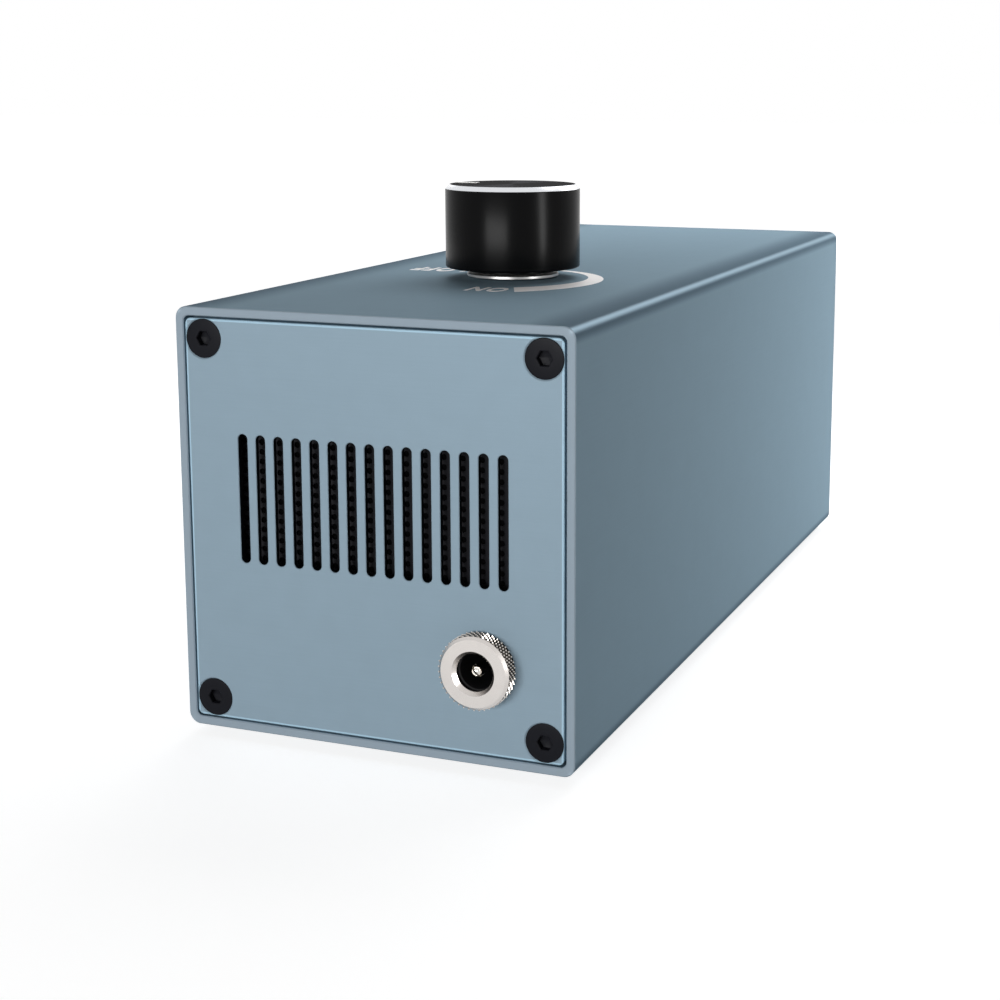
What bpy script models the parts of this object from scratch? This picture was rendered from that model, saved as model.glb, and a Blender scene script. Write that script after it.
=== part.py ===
"""Air assist pump in an extruded case, with a flow knob, a power jack and a diaphragm pump inside.

Sizes are millimetres and become metres where a mesh is made. +Z is up and the jack end faces -Y.
The origin lies under the middle of the whole part, on the surface that its feet stand on.
A depth is a distance behind the front face of the case.
"""
import math

import bmesh
import bpy
from mathutils import Vector

MM = 0.001
SEAT_GAP = 0.3

# Case: an extruded tube with a plate let into each end
BODY_W = 70.0
BODY_H = 71.4
BODY_L = 180.0
BODY_WALL = 1.5
BODY_EDGE_R = 2.0
PLATE_T = 3.0
PLATE_GAP = 0.35
PLATE_CORNER_R = 1.0
PLATE_CHAMFER = 0.35
FOOT_R = 6.0
FOOT_T = 1.5
FOOT_SIDE_INSET = 12.0
FOOT_END_INSET = 20.0

# Countersunk plate screws and the bosses that they bite into
SCREW_INSET = 5.15
SCREW_HEAD_R = 3.2
SCREW_SHANK_R = 1.45
SCREW_L = 11.0
SCREW_SINK = 0.1
SCREW_SOCKET = 1.15
SCREW_SOCKET_DEPTH = 1.3
SCREW_BOSS = 3.5
BOSS_EDGE_R = 2.5

# Upright slots in both plates, with a fine mesh sheet behind each group
SLOT_COUNT = 15
SLOT_W = 1.75
SLOT_H = 21.7
SLOT_PITCH = 3.29
INTAKE_RISE = 4.3
EXHAUST_RISE = -9.0
MESH_T = 0.5
MESH_MARGIN = 2.5

# Power jack in the front plate
JACK_SIDE_INSET = 15.8
JACK_BASE_INSET = 16.3
JACK_FLANGE_R = 6.2
JACK_FLANGE_T = 3.2
JACK_FLANGE_EDGE = 0.3
JACK_MOUTH_R = 3.7
JACK_BORE_R = 3.1
JACK_LIP_T = 1.0
JACK_BARREL_R = 5.4
JACK_BARREL_WALL = 1.2
JACK_BARREL_L = 12.0
JACK_FLOOR_T = 3.0
JACK_TAIL_L = 3.0
JACK_PIN_R = 1.0
JACK_PIN_TAPER = 0.5
JACK_PIN_POST = 2.5
JACK_PIN_RECESS = 1.0
JACK_NUT_HALF = 7.0
JACK_NUT_T = 2.5

# Flow knob and the potentiometer under it
KNOB_DEPTH = 60.0
KNOB_R = 12.5
KNOB_H = 15.3
KNOB_CHAMFER = 0.8
KNOB_COLLAR_H = 0.7
KNOB_COLLAR_WALL = 1.3
KNOB_ROOF_T = 3.0
KNOB_NUT_ROOM = 0.6
SET_SCREW_R = 1.5
SET_SCREW_L = 6.0
SET_SCREW_SOCKET = 0.75
SET_SCREW_SOCKET_DEPTH = 3.0
POT_R = 8.5
POT_T = 9.5
POT_FLOOR_T = 3.0
BUSHING_R = 4.5
SHAFT_R = 3.0
WASHER_R = 8.5
WASHER_T = 0.7
POT_NUT_HALF = 5.5
POT_NUT_T = 2.0

# Speed control board, carried by the potentiometer
BOARD_W = 36.0
BOARD_L = 38.0
BOARD_T = 1.6
BLOCK_W = 18.0
BLOCK_L = 8.0
BLOCK_H = 9.0
CAPACITOR_R = 5.0
CAPACITOR_H = 9.0
CAPACITOR_X = 11.0
CAPACITOR_BACK = 10.0
TRANSISTOR_W = 10.2
TRANSISTOR_BODY_L = 9.0
TRANSISTOR_BODY_H = 4.4
TRANSISTOR_TAB_L = 6.5
TRANSISTOR_TAB_T = 1.3
TRANSISTOR_HOLE_R = 1.8
TRANSISTOR_X = -10.0
TRANSISTOR_BACK = 3.0
LEAD_R = 0.8
LEAD_STEP = 4.8
LEAD_FACETS = 2

# Tray that the pump stands on, held down by lips on the lower bosses
TRAY_T = 1.5
TRAY_LIP = 1.6
TRAY_LIP_T = 1.5
DAMPER_W = 6.0
DAMPER_INSET = 3.0
SADDLE_W = 34.0
SADDLE_L = 10.0
SADDLE_DROP = 6.0
SADDLE_BACK = 8.0

# Direct current motor
MOTOR_R = 16.0
MOTOR_L = 46.0
MOTOR_WALL = 1.5
MOTOR_LIFT = 4.5
CAN_END_T = 2.0
CAP_T = 7.0
CAP_PLUG = 4.0
CAP_FLOOR_T = 2.0
BRUSH_ROOM = 6.0
COIL_ROOM = 4.0
MAGNET_T = 2.2
MAGNET_SPAN = math.radians(130)
AIR_GAP = 1.0
MOTOR_SHAFT_R = 2.5
COMMUTATOR_R = 5.0

# Crank, rod and diaphragm
PUMP_SIDE = 38.0
HOSE_RUN = 30.0
CRANK_THROW = 1.5
HUB_R = 8.0
HUB_T = 8.0
HUB_WEB = 1.5
PIN_R = 3.0
BEARING_R = 7.0
BEARING_T = 5.0
ROD_T = 6.0
ROD_WALL = 2.2
ROD_NECK_W = 6.0
ROD_FOOT_R = 7.0
ROD_FOOT_T = 2.0
STUD_R = 2.0
CLAMP_T = 1.0
RUN_GAP = 1.0
CRANKCASE_WALL = 2.0
CRANKCASE_END = 3.0
DIAPHRAGM_T = 1.5
DIAPHRAGM_INSET = 1.5
DIAPHRAGM_RIM_W = 4.5

# Pump head above the diaphragm, with air over its screws up to the ceiling of the case
HEAD_ROOM = 5.0
CHAMBER_TOP_GAP = 0.5
VALVE_WEB = 2.5
PORT_R = 2.0
PORT_REACH = 7.0
FLAP_T = 0.6
FLAP_CUT = 0.6
FLAP_R = 3.2
HEAD_H = 10.0
HEAD_WALL = 2.5
HEAD_WEB = 2.5
HEAD_SCREW_INSET = 3.4
HEAD_SCREW_R = 1.25
HEAD_SCREW_HEAD_R = 2.5
HEAD_SCREW_HEAD_H = 2.0
HEAD_SCREW_BITE = 8.0
NOZZLE_R = 2.5
NOZZLE_BORE_R = 1.5
NOZZLE_L = 8.0

# Air outlet in the rear plate
HOSE_WALL = 1.7
OUTLET_FLANGE_HALF = 6.5
OUTLET_FLANGE_T = 4.0
OUTLET_THREAD_R = 4.5
OUTLET_NUT_T = 3.0
BARB_L = 13.0
BARB_COUNT = 3
BARB_RISE = 0.5
BARB_GROOVE = 1.4

# Facets round a circle, and the arcs of rounded corners
ROUND_FINE = 48
ROUND = 30
ROUND_SMALL = 18
CORNER_STEPS = 4
SLOT_STEPS = 4
SHARP_ANGLE = math.radians(35)
OVERCUT = 1.0

# Levels and places that follow from the sizes
JACK_REACH = JACK_FLANGE_T + SEAT_GAP
OUTLET_REACH = SEAT_GAP + OUTLET_FLANGE_T + BARB_L
FRONT_Y = (JACK_REACH - BODY_L - OUTLET_REACH) / 2
BASE_Z = FOOT_T + SEAT_GAP
TOP_Z = BASE_Z + BODY_H
MID_Z = BASE_Z + BODY_H / 2
CEILING_Z = TOP_Z - BODY_WALL
INNER_W = BODY_W - 2 * BODY_WALL
INNER_H = BODY_H - 2 * BODY_WALL
PLATE_W = INNER_W - 2 * PLATE_GAP
PLATE_H = INNER_H - 2 * PLATE_GAP
POCKET = PLATE_T + SEAT_GAP
SCREW_X = BODY_W / 2 - SCREW_INSET
SCREW_RISE = BODY_H / 2 - SCREW_INSET
BOSS_X = SCREW_X - SCREW_BOSS
JACK_X = BODY_W / 2 - JACK_SIDE_INSET
JACK_Z = BASE_Z + JACK_BASE_INSET

TRAY_Z = BASE_Z + BODY_WALL + SEAT_GAP
TRAY_TOP = TRAY_Z + TRAY_T
PUMP_Z = TRAY_TOP + MOTOR_LIFT + MOTOR_R
PUMP_REAR = BODY_L - POCKET - HOSE_RUN
PUMP_FRONT = PUMP_REAR - PUMP_SIDE
CRANK_DEPTH = PUMP_REAR - PUMP_SIDE / 2
MOTOR_REAR = PUMP_FRONT - SEAT_GAP
MOTOR_FRONT = MOTOR_REAR - MOTOR_L
CAP_REAR = MOTOR_FRONT - SEAT_GAP
CAP_FRONT = CAP_REAR - CAP_T
CAN_BORE_R = MOTOR_R - MOTOR_WALL
MAGNET_R = CAN_BORE_R - SEAT_GAP
MAGNET_FRONT = MOTOR_FRONT + CAP_PLUG + BRUSH_ROOM
MAGNET_REAR = MOTOR_REAR - CAN_END_T - COIL_ROOM
ARMATURE_R = MAGNET_R - MAGNET_T - AIR_GAP
HUB_REAR = CRANK_DEPTH - ROD_T / 2 - 2 * SEAT_GAP
BIG_END_BORE_R = BEARING_R + SEAT_GAP
BIG_END_R = BIG_END_BORE_R + ROD_WALL
CAVITY_R = BIG_END_R + CRANK_THROW + RUN_GAP
CRANKCASE_Z = PUMP_Z - CAVITY_R - CRANKCASE_WALL
HEAD_TOP = CEILING_Z - HEAD_ROOM - HEAD_SCREW_HEAD_H - SEAT_GAP
HEAD_Z = HEAD_TOP - HEAD_H
NOZZLE_Z = HEAD_Z + HEAD_H / 2
FLAP_Z = HEAD_Z - SEAT_GAP - FLAP_T
VALVE_PLATE_TOP = FLAP_Z - SEAT_GAP
CHAMBER_TOP = VALVE_PLATE_TOP - VALVE_WEB
CLAMP_Z = CHAMBER_TOP - CHAMBER_TOP_GAP - CLAMP_T
DIAPHRAGM_Z = CLAMP_Z - SEAT_GAP - DIAPHRAGM_T - CRANK_THROW
VALVE_PLATE_Z = DIAPHRAGM_Z + DIAPHRAGM_T + SEAT_GAP
CRANKCASE_TOP = DIAPHRAGM_Z - SEAT_GAP
ROD_L = CRANKCASE_TOP - PUMP_Z
DIAPHRAGM_R = PUMP_SIDE / 2 - DIAPHRAGM_INSET
CHAMBER_R = DIAPHRAGM_R - DIAPHRAGM_RIM_W
MOUTH_R = ROD_FOOT_R + CRANK_THROW + RUN_GAP
HEAD_SCREW_REACH = PUMP_SIDE / 2 - HEAD_SCREW_INSET
HOSE_BORE_R = NOZZLE_R + SEAT_GAP

WASHER_Z = TOP_Z + SEAT_GAP
POT_NUT_Z = WASHER_Z + WASHER_T + SEAT_GAP
BUSHING_TOP = POT_NUT_Z + POT_NUT_T + SEAT_GAP
COLLAR_Z = WASHER_Z + WASHER_T + SEAT_GAP
KNOB_Z = COLLAR_Z + KNOB_COLLAR_H
KNOB_TOP = KNOB_Z + KNOB_H
COLLAR_BORE_R = POT_NUT_HALF / math.cos(math.pi / 6) + KNOB_NUT_ROOM
COLLAR_R = COLLAR_BORE_R + KNOB_COLLAR_WALL
POT_Z = CEILING_Z - SEAT_GAP - POT_T
BOARD_TOP = POT_Z - SEAT_GAP
BOARD_Z = BOARD_TOP - BOARD_T
HANG_Z = BOARD_Z - SEAT_GAP
BLOCK_DEPTH = KNOB_DEPTH - BOARD_L / 2 + BLOCK_L / 2
BLOCK_Z = HANG_Z - BLOCK_H

UPRIGHT = (0.0, 0.0, 0.0)
FACING_FRONT = (math.pi / 2, 0.0, 0.0)
FACING_REAR = (math.pi / 2, 0.0, math.pi)


def clear_scene():
    """Remove every object that is already there."""
    for old in list(bpy.data.objects):
        bpy.data.objects.remove(old, do_unlink=True)


def finish(name, colour, roughness, metallic):
    """Return a plain Principled material."""
    made = bpy.data.materials.new(name)
    made.use_nodes = True
    shader = made.node_tree.nodes["Principled BSDF"]
    shader.inputs["Base Color"].default_value = (*colour, 1.0)
    shader.inputs["Roughness"].default_value = roughness
    shader.inputs["Metallic"].default_value = metallic
    return made


def point(x, depth, z):
    """Return the place at a depth behind the front face, in millimetres."""
    return Vector((x, FRONT_Y + depth, z))


def ring(radius, height, count=ROUND):
    """Return one circle of a turned shape."""
    steps = [2 * math.pi * i / count for i in range(count)]
    return [(radius * math.cos(a), radius * math.sin(a), height) for a in steps]


def hexagon(half, height, count=ROUND_SMALL):
    """Return one ring of a six-sided shape from half its width across flats."""
    side = math.pi / 3
    steps = [2 * math.pi * i / count for i in range(count)]
    reach = [half / math.cos(a % side - side / 2) for a in steps]
    return [(r * math.cos(a), r * math.sin(a), height) for r, a in zip(reach, steps)]


def rounded(width, height, radius):
    """Return the outline of a rectangle with round corners."""
    points = []
    for corner in range(4):
        sx = (1, -1, -1, 1)[corner]
        sy = (1, 1, -1, -1)[corner]
        for i in range(CORNER_STEPS + 1):
            angle = (corner + i / CORNER_STEPS) * math.pi / 2
            points.append((sx * (width / 2 - radius) + radius * math.cos(angle),
                           sy * (height / 2 - radius) + radius * math.sin(angle)))
    return points


def rectangle(width, height):
    """Return the outline of a plain rectangle."""
    x = width / 2
    y = height / 2
    return [(x, y), (-x, y), (-x, -y), (x, -y)]


def stadium(width, height):
    """Return the outline of an upright slot with half-round ends."""
    radius = width / 2
    points = []
    for end, start in ((1, 0.0), (-1, math.pi)):
        for i in range(SLOT_STEPS + 1):
            angle = start + math.pi * i / SLOT_STEPS
            points.append((radius * math.cos(angle), end * (height / 2 - radius) + radius * math.sin(angle)))
    return points


def moved(outline, x, y):
    """Return an outline shifted in its own plane."""
    return [(px + x, py + y) for px, py in outline]


def at_height(outline, height):
    """Return an outline as a ring at one height."""
    return [(x, y, height) for x, y in outline]


def prism(outline, low, high):
    """Return the two rings of an extruded outline."""
    return [at_height(outline, high), at_height(outline, low)]


def loft(rings, closed=False, bm=None):
    """Skin a row of rings, closing it on itself or capping both ends."""
    bm = bm or bmesh.new()
    rows = [[bm.verts.new(Vector(p) * MM) for p in one] for one in rings]
    pairs = list(zip(rows, rows[1:]))
    if closed:
        pairs.append((rows[-1], rows[0]))
    else:
        bm.faces.new(rows[0])
        bm.faces.new(rows[-1])
    for upper, lower in pairs:
        for i, a in enumerate(upper):
            j = (i + 1) % len(upper)
            bm.faces.new((a, upper[j], lower[j], lower[i]))
    return bm


def group(shapes):
    """Return one mesh that holds several separate lofted shapes."""
    bm = bmesh.new()
    for rings in shapes:
        loft(rings, bm=bm)
    return bm


def add_object(name, data, place, turn, parent):
    """Link an object at a place in millimetres, under its parent if it has one."""
    made = bpy.data.objects.new(name, data)
    bpy.context.collection.objects.link(made)
    home = place
    if parent:
        made.parent = parent
        home = place - Vector(parent["place"])
    made.location = home * MM
    made.rotation_euler = turn
    return made


def axis(name, place):
    """Return an empty that stands on a joint's axis."""
    made = bpy.data.objects.new(name, None)
    bpy.context.collection.objects.link(made)
    made.location = place * MM
    made["place"] = tuple(place)
    return made


def to_mesh(name, bm):
    """Turn a bmesh into a mesh whose faces point outwards."""
    bmesh.ops.recalc_face_normals(bm, faces=bm.faces)
    mesh = bpy.data.meshes.new(name)
    bm.to_mesh(mesh)
    bm.free()
    mesh.shade_smooth()
    mesh.set_sharp_from_angle(angle=SHARP_ANGLE)
    return mesh


def solid(name, bm, look, place, turn=UPRIGHT, parent=None):
    """Add one piece of the part."""
    mesh = to_mesh(name, bm)
    mesh.materials.append(look)
    return add_object(name, mesh, place, turn, parent)


def combine(piece, bm, place, turn=UPRIGHT, operation="DIFFERENCE"):
    """Cut a shape out of a piece, or join it on."""
    label = piece.name + "_" + operation.lower()
    tool = add_object(label, to_mesh(label, bm), place, turn, None)
    tool.hide_render = True
    tool.display_type = "WIRE"
    step = piece.modifiers.new(operation.title(), "BOOLEAN")
    step.operation = operation
    step.solver = "EXACT"
    step.object = tool


def countersunk_screw():
    """Return the rings of a plate screw with a hexagon socket, its head's top at height 0."""
    neck = SCREW_SHANK_R - SCREW_HEAD_R
    return [hexagon(SCREW_SOCKET, -SCREW_SOCKET_DEPTH), hexagon(SCREW_SOCKET, 0.0),
            ring(SCREW_HEAD_R, 0.0, ROUND_SMALL), ring(SCREW_SHANK_R, neck, ROUND_SMALL),
            ring(SCREW_SHANK_R, -SCREW_L, ROUND_SMALL)]


def countersink(x, y):
    """Return the rings of the hole that clears a plate screw."""
    throat = SCREW_SHANK_R + SEAT_GAP
    wide = SCREW_HEAD_R + SEAT_GAP
    heights = ((wide, OVERCUT), (wide, 0.0), (throat, throat - wide), (throat, -PLATE_T - OVERCUT))
    return [[(px + x, py + y, pz) for px, py, pz in ring(r, h, ROUND_SMALL)] for r, h in heights]


def corners(x, y):
    """Return the four points of a rectangle about the middle."""
    return [(sx * x, sy * y) for sy in (1, -1) for sx in (-1, 1)]


def drilled(radius, x, y, low, high, count=ROUND_SMALL):
    """Return the two rings of a round hole or pin that stands off the middle of its plane."""
    return [[(px + x, py + y, pz) for px, py, pz in ring(radius, h, count)] for h in (high, low)]


def boss_outline(side, level):
    """Return one corner boss of the case; the lower ones carry a lip over the tray."""
    wall_x = INNER_W / 2 + BODY_WALL / 2
    wall_y = INNER_H / 2 + BODY_WALL / 2
    crown = SCREW_RISE - SCREW_BOSS
    points = [(wall_x, wall_y), (BOSS_X, wall_y)]
    if level < 0:
        lip_low = MID_Z - TRAY_TOP - SEAT_GAP
        lip_high = lip_low - TRAY_LIP_T
        points += [(BOSS_X, lip_low), (BOSS_X - TRAY_LIP, lip_low),
                   (BOSS_X - TRAY_LIP, lip_high), (BOSS_X, lip_high)]
    for i in range(CORNER_STEPS + 1):
        angle = math.pi + math.pi / 2 * i / CORNER_STEPS
        points.append((BOSS_X + BOSS_EDGE_R + BOSS_EDGE_R * math.cos(angle),
                       crown + BOSS_EDGE_R + BOSS_EDGE_R * math.sin(angle)))
    points.append((wall_x, crown))
    return [(side * x, level * y) for x, y in points]


def make_case(look):
    """Extrude the case with its corner bosses, and bore it for the screws and the potentiometer."""
    outer = rounded(BODY_W, BODY_H, BODY_EDGE_R)
    inner = rounded(INNER_W, INNER_H, PLATE_CORNER_R)
    rings = prism(outer, -BODY_L, 0.0) + prism(inner, 0.0, -BODY_L)
    middle = point(0.0, 0.0, MID_Z)
    case = solid("body_shell", loft(rings, closed=True), look, middle, FACING_FRONT)
    bosses = [prism(boss_outline(sx, sy), POCKET - BODY_L, -POCKET) for sx, sy in corners(1, 1)]
    combine(case, group(bosses), middle, FACING_FRONT, "UNION")
    bore = SCREW_SHANK_R + SEAT_GAP
    holes = [drilled(bore, x, y, -BODY_L - OVERCUT, OVERCUT) for x, y in corners(SCREW_X, SCREW_RISE)]
    combine(case, group(holes), middle, FACING_FRONT)
    neck = drilled(BUSHING_R + SEAT_GAP, 0.0, 0.0, -BODY_WALL - OVERCUT, OVERCUT)
    combine(case, loft(neck), point(0.0, KNOB_DEPTH, TOP_Z))


def slot_group(rise):
    """Return the rings of the slots that are cut through a plate."""
    first = -SLOT_PITCH * (SLOT_COUNT - 1) / 2
    places = [first + SLOT_PITCH * i for i in range(SLOT_COUNT)]
    return [prism(moved(stadium(SLOT_W, SLOT_H), x, rise), -PLATE_T - OVERCUT, OVERCUT) for x in places]


def make_end(end, depth, turn, rise, hole, looks):
    """Build one end plate with its screws and the mesh sheet behind its slots.

    hole is the place and radius of the round hole for the jack or the outlet.
    """
    plate_look, screw_look, mesh_look = looks
    face = point(0.0, depth, MID_Z)
    away = -1 if turn is FACING_FRONT else 1
    edge = rounded(PLATE_W - 2 * PLATE_CHAMFER, PLATE_H - 2 * PLATE_CHAMFER, PLATE_CORNER_R - PLATE_CHAMFER)
    full = rounded(PLATE_W, PLATE_H, PLATE_CORNER_R)
    rings = [at_height(edge, 0.0), at_height(full, -PLATE_CHAMFER), at_height(full, -PLATE_T)]
    plate = solid(end + "_end_plate", loft(rings), plate_look, face, turn)
    combine(plate, group(slot_group(rise)), face, turn)
    combine(plate, group([countersink(x, y) for x, y in corners(SCREW_X, SCREW_RISE)]), face, turn)
    x, y, radius = hole
    combine(plate, loft(drilled(radius, x, y, -PLATE_T - OVERCUT, OVERCUT, ROUND)), face, turn)
    for i, (sx, sy) in enumerate(corners(SCREW_X, SCREW_RISE), start=1):
        top = face + Vector((sx, -away * SCREW_SINK, sy))
        solid(f"{end}_end_screw_{i}", loft(countersunk_screw()), screw_look, top, turn)
    width = SLOT_PITCH * (SLOT_COUNT - 1) + SLOT_W + 2 * MESH_MARGIN
    sheet = prism(rectangle(width, SLOT_H + 2 * MESH_MARGIN), -POCKET - MESH_T, -POCKET)
    name = "intake_mesh" if end == "jack" else "exhaust_mesh"
    solid(name, loft(sheet), mesh_look, face + Vector((0.0, 0.0, rise)), turn)


def make_feet(look):
    """Put a thin rubber pad near each corner of the underside."""
    reach = BODY_L / 2 - FOOT_END_INSET
    for i, (x, y) in enumerate(corners(BODY_W / 2 - FOOT_SIDE_INSET, reach), start=1):
        pad = loft([ring(FOOT_R, FOOT_T), ring(FOOT_R, 0.0)])
        solid(f"foot_{i}", pad, look, point(x, BODY_L / 2 + y, 0.0))


def make_jack(metal, plastic):
    """Build the power jack: flanged barrel, black core, centre pin and nut."""
    face = point(JACK_X, -JACK_REACH, JACK_Z)
    bore = JACK_BARREL_R - JACK_BARREL_WALL
    root = -JACK_FLANGE_T
    tail = -JACK_REACH - JACK_BARREL_L
    mouth = JACK_BORE_R - JACK_MOUTH_R
    rim = JACK_FLANGE_R - JACK_FLANGE_EDGE
    profile = [(rim, 0.0), (JACK_FLANGE_R, -JACK_FLANGE_EDGE), (JACK_FLANGE_R, root), (JACK_BARREL_R, root),
               (JACK_BARREL_R, tail), (bore, tail), (bore, mouth - JACK_LIP_T),
               (JACK_BORE_R, mouth - JACK_LIP_T), (JACK_BORE_R, mouth), (JACK_MOUTH_R, 0.0)]
    solid("jack_shell", loft([ring(r, h) for r, h in profile], closed=True), metal, face, FACING_FRONT)
    core_top = mouth - JACK_LIP_T - SEAT_GAP
    core_low = tail - JACK_TAIL_L
    core_floor = core_low + JACK_TAIL_L + JACK_FLOOR_T
    hole = JACK_PIN_R + SEAT_GAP
    profile = [(bore - SEAT_GAP, core_top), (bore - SEAT_GAP, core_low), (hole, core_low), (hole, core_floor),
               (JACK_BORE_R, core_floor), (JACK_BORE_R, core_top)]
    solid("jack_core", loft([ring(r, h) for r, h in profile], closed=True), plastic, face, FACING_FRONT)
    tip = -JACK_PIN_RECESS
    post = core_low - JACK_PIN_POST
    profile = [(JACK_PIN_R - JACK_PIN_TAPER, tip), (JACK_PIN_R, tip - JACK_PIN_TAPER), (JACK_PIN_R, post)]
    solid("jack_pin", loft([ring(r, h, ROUND_SMALL) for r, h in profile]), metal, face, FACING_FRONT)
    thread = JACK_BARREL_R + SEAT_GAP
    nut = [hexagon(JACK_NUT_HALF, 0.0), hexagon(JACK_NUT_HALF, -JACK_NUT_T),
           ring(thread, -JACK_NUT_T, ROUND_SMALL), ring(thread, 0.0, ROUND_SMALL)]
    solid("jack_nut", loft(nut, closed=True), metal, point(JACK_X, POCKET, JACK_Z), FACING_FRONT)


def make_knob(black, steel, nickel, plastic):
    """Build the knob on its shaft, and the potentiometer, washer and nut that hold it to the case."""
    pivot = axis("knob_axis", point(0.0, KNOB_DEPTH, TOP_Z))
    place = point(0.0, KNOB_DEPTH, 0.0)
    bore = SHAFT_R + SEAT_GAP
    roof = KNOB_TOP - KNOB_ROOF_T
    ceiling = BUSHING_TOP + SEAT_GAP
    profile = [(KNOB_R - KNOB_CHAMFER, KNOB_TOP), (KNOB_R, KNOB_TOP - KNOB_CHAMFER), (KNOB_R, KNOB_Z),
               (COLLAR_R, KNOB_Z), (COLLAR_R, COLLAR_Z), (COLLAR_BORE_R, COLLAR_Z), (COLLAR_BORE_R, ceiling),
               (bore, ceiling), (bore, roof)]
    rings = [ring(r, h, count=ROUND_FINE) for r, h in profile]
    knob = solid("knob", loft(rings), black, place, parent=pivot)
    level = (ceiling + roof) / 2
    hole = SET_SCREW_R + SEAT_GAP
    drill = [ring(hole, h, ROUND_SMALL) for h in (KNOB_R + OVERCUT, SHAFT_R)]
    combine(knob, loft(drill), place + Vector((0.0, 0.0, level)), FACING_REAR)
    floor = SET_SCREW_L - SET_SCREW_SOCKET_DEPTH
    grub = [hexagon(SET_SCREW_SOCKET, floor), hexagon(SET_SCREW_SOCKET, SET_SCREW_L),
            ring(SET_SCREW_R, SET_SCREW_L, ROUND_SMALL), ring(SET_SCREW_R, 0.0, ROUND_SMALL)]
    seat = Vector((0.0, SHAFT_R + SEAT_GAP, level))
    solid("knob_set_screw", loft(grub), steel, place + seat, FACING_REAR, pivot)
    low = POT_Z + POT_FLOOR_T + SEAT_GAP
    shaft = [ring(SHAFT_R, roof - SEAT_GAP, ROUND_SMALL), ring(SHAFT_R, low, ROUND_SMALL)]
    solid("pot_shaft", loft(shaft), steel, place, parent=pivot)
    profile = [(bore, POT_Z + POT_FLOOR_T), (bore, BUSHING_TOP), (BUSHING_R, BUSHING_TOP),
               (BUSHING_R, POT_Z + POT_T), (POT_R, POT_Z + POT_T), (POT_R, POT_Z)]
    solid("pot_body", loft([ring(r, h, ROUND_SMALL) for r, h in profile]), plastic, place)
    thread = BUSHING_R + SEAT_GAP
    profile = [(WASHER_R, WASHER_Z + WASHER_T), (WASHER_R, WASHER_Z), (thread, WASHER_Z),
               (thread, WASHER_Z + WASHER_T)]
    solid("pot_washer", loft([ring(r, h) for r, h in profile], closed=True), nickel, place)
    top = POT_NUT_Z + POT_NUT_T
    nut = [hexagon(POT_NUT_HALF, top), hexagon(POT_NUT_HALF, POT_NUT_Z),
           ring(thread, POT_NUT_Z, ROUND_SMALL), ring(thread, top, ROUND_SMALL)]
    solid("pot_nut", loft(nut, closed=True), nickel, place)


def make_board(board, plastic):
    """Hang the speed control board and its components under the potentiometer."""
    middle = point(0.0, KNOB_DEPTH, 0.0)
    solid("control_board", loft(prism(rectangle(BOARD_W, BOARD_L), BOARD_Z, BOARD_TOP)), board, middle)
    block = loft(prism(rectangle(BLOCK_W, BLOCK_L), BLOCK_Z, HANG_Z))
    solid("terminal_block", block, plastic, point(0.0, BLOCK_DEPTH, 0.0))
    can = [ring(CAPACITOR_R, HANG_Z, ROUND_SMALL), ring(CAPACITOR_R, HANG_Z - CAPACITOR_H, ROUND_SMALL)]
    solid("capacitor", loft(can), plastic, middle + Vector((CAPACITOR_X, CAPACITOR_BACK, 0.0)))
    body = TRANSISTOR_BODY_L
    end = body + TRANSISTOR_TAB_L
    side = [(0.0, 0.0), (end, 0.0), (end, -TRANSISTOR_TAB_T), (body, -TRANSISTOR_TAB_T),
            (body, -TRANSISTOR_BODY_H), (0.0, -TRANSISTOR_BODY_H)]
    half = TRANSISTOR_W / 2
    rings = [[(x, y, z) for y, z in side] for x in (-half, half)]
    place = middle + Vector((TRANSISTOR_X, TRANSISTOR_BACK, HANG_Z))
    transistor = solid("power_transistor", loft(rings), plastic, place)
    eye = Vector((0.0, body + TRANSISTOR_TAB_L / 2, 0.0))
    drill = [ring(TRANSISTOR_HOLE_R, h, ROUND_SMALL) for h in (OVERCUT, -TRANSISTOR_TAB_T - OVERCUT)]
    combine(transistor, loft(drill), place + eye)


def smooth_route(points, step):
    """Return points about a step apart on a smooth curve through the route's own points."""
    ends = [2 * points[0] - points[1]] + points + [2 * points[-1] - points[-2]]
    route = []
    for a, b, c, d in zip(ends, ends[1:], ends[2:], ends[3:]):
        count = max(2, round((c - b).length / step))
        for i in range(count):
            t = i / count
            route.append(((2 * b) + (c - a) * t + (2 * a - 5 * b + 4 * c - d) * t * t
                          + (3 * b - 3 * c + d - a) * t ** 3) / 2)
    return route + [points[-1]]


def lead(name, points, look):
    """Lay one insulated wire through a row of places."""
    curve = bpy.data.curves.new(name, "CURVE")
    curve.dimensions = "3D"
    curve.bevel_depth = LEAD_R * MM
    curve.bevel_resolution = LEAD_FACETS
    curve.use_fill_caps = True
    curve.materials.append(look)
    route = smooth_route(points, LEAD_STEP)
    spline = curve.splines.new("POLY")
    spline.points.add(len(route) - 1)
    for knot, place in zip(spline.points, route):
        knot.co = (*(place * MM), 1.0)
    add_object(name, curve, Vector((0.0, 0.0, 0.0)), UPRIGHT, None)


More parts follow.
